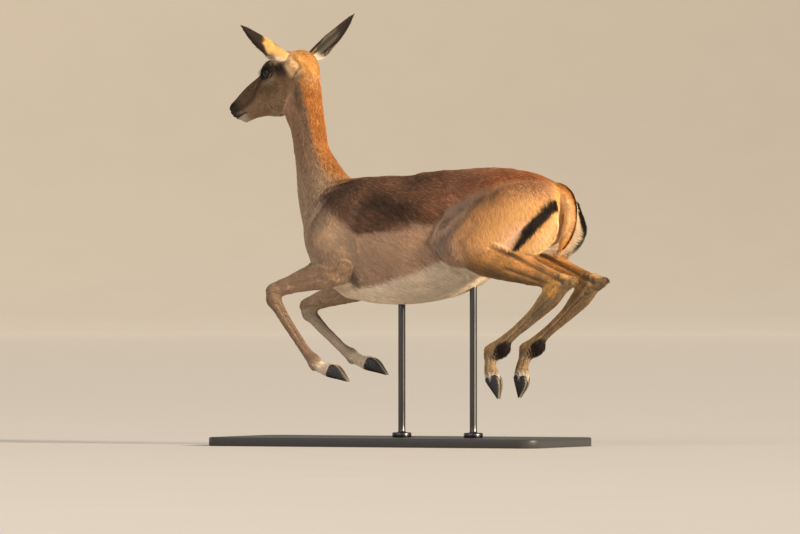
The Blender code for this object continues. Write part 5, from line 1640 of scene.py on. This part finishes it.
def feet_hair(grown, points):
    """Gland tufts that stand out behind the hind fetlocks, and longer hair over the top of the claws."""
    feet = []
    for leg_name, leg in LEGS.items():
        fetlock, coronet, toe = (np.array(leg[name]) for name in ("fetlock", "coronet", "toe"))
        down = unit(toe - coronet)
        if leg_name.startswith("hind"):
            away, middle, turn = from_gland(points, leg)
            out = (points - middle) * 14 + turn[:, 2] + turn[:, 1] * 0.3
            tuft = ramp(away, 1.15, 0.9)
            feet.append(grown(tuft, 2300, (0.013, 0.001, 0.3, 0.05, 0.15, (0.1, DARK_TIP)), out))
        along = (points - coronet) @ down
        ring = ramp(along, -0.014, -0.004) * (norm(points - coronet) < 0.034)
        feet.append(grown(ring, 620, (0.011, 0.0009, 0.2, 0.0, 0.15, (0.6, (0.74, 0.66, 0.52))),
                          down[None] + 0 * points))
        behind = np.cross(down, SIDEWAYS)
        heel = (norm(points - fetlock) < 0.03) & ((points - fetlock) @ behind > 0.004)
        feet.append(grown(heel.astype(float), 380, (0.012, 0.0009, 0.35, 0.0, 0.2, (0.3, (0.6, 0.5, 0.36))),
                          down[None] + 0.5 * behind))
    return stacked(feet)


def body_hair(grown, points, normals, sample):
    """Longer hair on the buttock stripes and their inner edge, groin, brisket, chin and ridge of the neck."""
    x, y, z = points.T
    form, under = AX_FORM[sample], -normals[:, 2]
    rest = []
    for side in (-1, 1):
        seen, most = ((0, 2), 1.0) if side < 0 else ((1, 2), 0.85)
        away, wide = off_path(points[:, seen], np.array(STRIPE[side])[:, seen], STRIPE_WIDE)
        on = ramp(away, most * wide + 0.001, most * wide - 0.002)
        on = on * (y * side > 0.046) * (x > 0.3) * (normals[:, 1] * side > -0.3)
        lift, droop = (0.3, 0.1) if side < 0 else (0.85, 0.0)
        rest.append(grown(on, 1900, (0.015, 0.0011, lift, droop, 0.12, (0.1, DARK_TIP))))
        inner = (y * side > 0.03) & (x > 0.38) & (z > 0.44) & (normals[:, 0] > 0.2)
        rest.append(grown(inner.astype(float), 1800,
                          (0.014, 0.001, 0.2, 0.12, 0.12, (0.25, (0.88, 0.7, 0.44)))))
    groin = ramp(under, 0.3, 0.7) * (x > 0.1) * (x < 0.36) * (z < 0.5) * (z > 0.37) * (form < 1)
    rest.append(grown(groin, 1500, (0.018, 0.0011, 0.22, 0.1, 0.2, (0.3, (0.85, 0.78, 0.66)))))
    brisket = ramp(under, 0.2, 0.6) * (x < -0.06) * (x > -0.26) * (z < 0.47) * (form < 2)
    rest.append(grown(brisket, 900, (0.015, 0.0011, 0.2, 0.1, 0.2, (0.2, (0.75, 0.62, 0.46)))))
    back = in_head(points)[:, 0]
    chin = ramp(under, 0.2, 0.6) * (form == FORM_NAMES.index("head")) * (back < 0.075) * (back > 0.01)
    rest.append(grown(chin, 420, (0.0065, 0.0006, 0.25, 0.0, 0.2, (0.3, (0.7, 0.64, 0.56)))))
    nape = (form == FORM_NAMES.index("neck")) & (normals[:, 0] > 0.75) & (z > 0.7)
    rest.append(grown(nape.astype(float), 1500, (0.017, 0.0011, 0.22, 0.05, 0.12, (0.15, (0.7, 0.4, 0.16)))))
    return stacked(rest)


def lashes(chance):
    """Dark lashes from the upper lid's rim, fanned forward and out."""
    made = []
    for side in (-1, 1):
        centre, look, fore, up = eye_axes(side)
        turn = np.linspace(0.25, 2.55, 90)
        p, q = LID_LONG * 1.12 * np.cos(turn), LID_HIGH * 1.18 * np.sin(turn)
        depth = np.sqrt(np.maximum((EYE_RADIUS + 0.0008) ** 2 - p**2 - q**2, 1e-6))
        root = centre + depth[:, None] * look + p[:, None] * fore + q[:, None] * up
        out = unit(look * 0.9 + up * 0.45 + fore * (0.55 + 0.5 * np.cos(turn))[:, None])
        bend = np.tile(up * 0.3 - look * 0.15, (len(turn), 1)) + chance.normal(0, 0.04, (len(turn), 3))
        root, out, bend = (v @ HEAD_TURN.T for v in (root, out, bend))
        root = root + np.array(NOSE)
        spans = 0.0105 * (0.75 + 0.35 * np.cos(turn - 0.7)) * chance.uniform(0.8, 1.15, len(turn))
        dark = np.tile(HUES["black"], (len(turn), 1))
        cell = np.tile((0.8, 0.95), (len(turn), 1)) - chance.random((len(turn), 2)) * (0.02, 0.02)
        made.append(long_locks(root, out, bend, spans, np.full(len(turn), 0.0006), dark, dark, cell))
    return made


# ---- the model put together ----

EYE_FINISH = finish_of("wet_eye", 0.06, IOR=1.38)
HORN_FINISH = finish_of("claw_horn", 0.38, bump=0.0004, grain=900, mottle=0.12)
PAINT_FINISH = finish_of("satin_paint", 0.42, bump=0.00004, grain=1400, mottle=0.05,
                         colour=(0.04, 0.04, 0.043))
STEEL_FINISH = finish_of("dark_steel", 0.32, bump=0.00002, grain=900, mottle=0.05, colour=(0.1, 0.1, 0.105),
                         Metallic=1.0)
SKIN_FINISH = finish_of("skin_under_coat", 0.85, bump=0.0006, grain=900, mottle=0.1)
COAT_FINISH = finish_of("short_coat", 0.62, grain=1500, mottle=0.08, Sheen_Weight=0.06, Sheen_Roughness=0.4,
                        Specular_IOR_Level=0.24)

skin = whole_skin()
points = read(skin, "vertices", "co", 3).astype(float)
edges = read(skin, "edges", "vertices", 2, np.int32)
skin.data.calc_loop_triangles()
tris = read(skin, "loop_triangles", "vertices", 3, np.int32)
sample = nearest_axis(points)
normals = normals_of(points, tris)
colours = marks(points, normals, sample, edges)
painted(skin, colours, SKIN_FINISH)
FLESH = [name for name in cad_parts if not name.startswith(("stand", "eye")) and "claw" not in name]
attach(skin, "root")
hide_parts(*FLESH)
lie, chart = lie_of(points, normals, sample, edges), charted(points, sample)
grow_short(points, normals, tris, sample, edges, lie, colours, chart)
grow_long(points, normals, tris, sample, lie, colours, chart)
for side, word in ((-1, "left"), (1, "right")):
    eye = eyeball(side)
    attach(eye, "root")
    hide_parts("eye_" + word)
for leg_name, leg in LEGS.items():
    for side, word in ((-1, "a"), (1, "b")):
        horn = claw(f"{leg_name}_hoof_{word}", leg, side)
        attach(horn, "root")
        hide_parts(f"{leg_name}_claw_{word}")
plate = stand_plate()
plate.data.materials.append(PAINT_FINISH)
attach(plate, "root")
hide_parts("stand_base")
for name, place in RODS.items():
    post = stand_post(name.replace("rod", "post"), *place)
    post.data.materials.append(STEEL_FINISH)
    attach(post, "root")
    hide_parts(name)

# ---- floor, light and camera ----


def studio_bowl():
    """A round floor that turns up into a low wall: radius and height follow a quarter circle."""
    bend = np.linspace(0, 0.5 * math.pi, 16)
    radius = np.concatenate(((2, 8, 20, 34), 40 + 6 * np.sin(bend)))
    level = np.concatenate(((0, 0, 0, 0), 6 - 6 * np.cos(bend)))
    turn = whole_turn(96)
    grid = np.stack((radius[:, None] * np.cos(turn), radius[:, None] * np.sin(turn),
                     np.repeat(level[:, None], 96, 1)), -1)
    points, quads, caps = closed(grid)
    floor = new_piece("studio_floor", points, quads, caps[:96])
    tone = np.interp(points[:, 2], (0, 0.033, 0.131, 0.294, 0.519, 0.804, 1.146, 1.54, 2.25),
                     (0.78, 0.7, 0.614, 0.565, 0.522, 0.488, 0.456, 0.435, 0.418))
    tone *= 0.93
    return painted(floor, tone[:, None] * (1.0, 0.97, 0.925), FLOOR_FINISH)


def lamp(name, kind, energy, colour, place, aim, **settings):
    """A lamp at a place, turned so that it shines on the aim."""
    light = bpy.data.lights.new(name, kind)
    light.energy, light.color = energy, colour
    for key, value in settings.items():
        setattr(light, key, value)
    holder = bpy.data.objects.new(name, light)
    holder.location = place
    way = Vector(place) - Vector(aim)
    holder.rotation_euler = way.to_track_quat("Z", "Y").to_euler()
    bpy.context.scene.collection.objects.link(holder)
    return holder


# The camera: what it looks at, its turn behind the left side, its distance and the width it sees.
AIM, AZIMUTH, AWAY, SPAN = (0.0, 0.0, 0.4475), math.radians(24), 24.0, 2.0

FLOOR_FINISH = finish_of("pale_floor", 0.9, mottle=0.01, grain=3.0)
studio_bowl()
lamp("key", "SUN", 6.2, (1.0, 0.8, 0.56), (3.0, -0.45, 1.3), (0, 0, 0.5), angle=math.radians(10))
lamp("fill", "AREA", 430, (1.0, 0.96, 0.92), (-3.3, -12.1, 6.9), (0, 0, 0.5), shape="DISK", size=11.0)
world = bpy.data.worlds.new("studio_air")
world.use_nodes = True
world.node_tree.nodes["Background"].inputs["Color"].default_value = (0.95, 0.93, 0.9, 1)
world.node_tree.nodes["Background"].inputs["Strength"].default_value = 0.36
bpy.context.scene.world = world
view = bpy.data.cameras.new("camera")
view.sensor_width = 36
view.lens = 36 * AWAY / SPAN
view.clip_end = 200
camera = bpy.data.objects.new("camera", view)
outward = Vector((math.sin(AZIMUTH), -math.cos(AZIMUTH), 0))
camera.location = Vector(AIM) + AWAY * outward
camera.rotation_euler = outward.to_track_quat("Z", "Y").to_euler()
bpy.context.scene.collection.objects.link(camera)
bpy.context.scene.camera = camera
bpy.context.scene.view_settings.view_transform = "Standard"
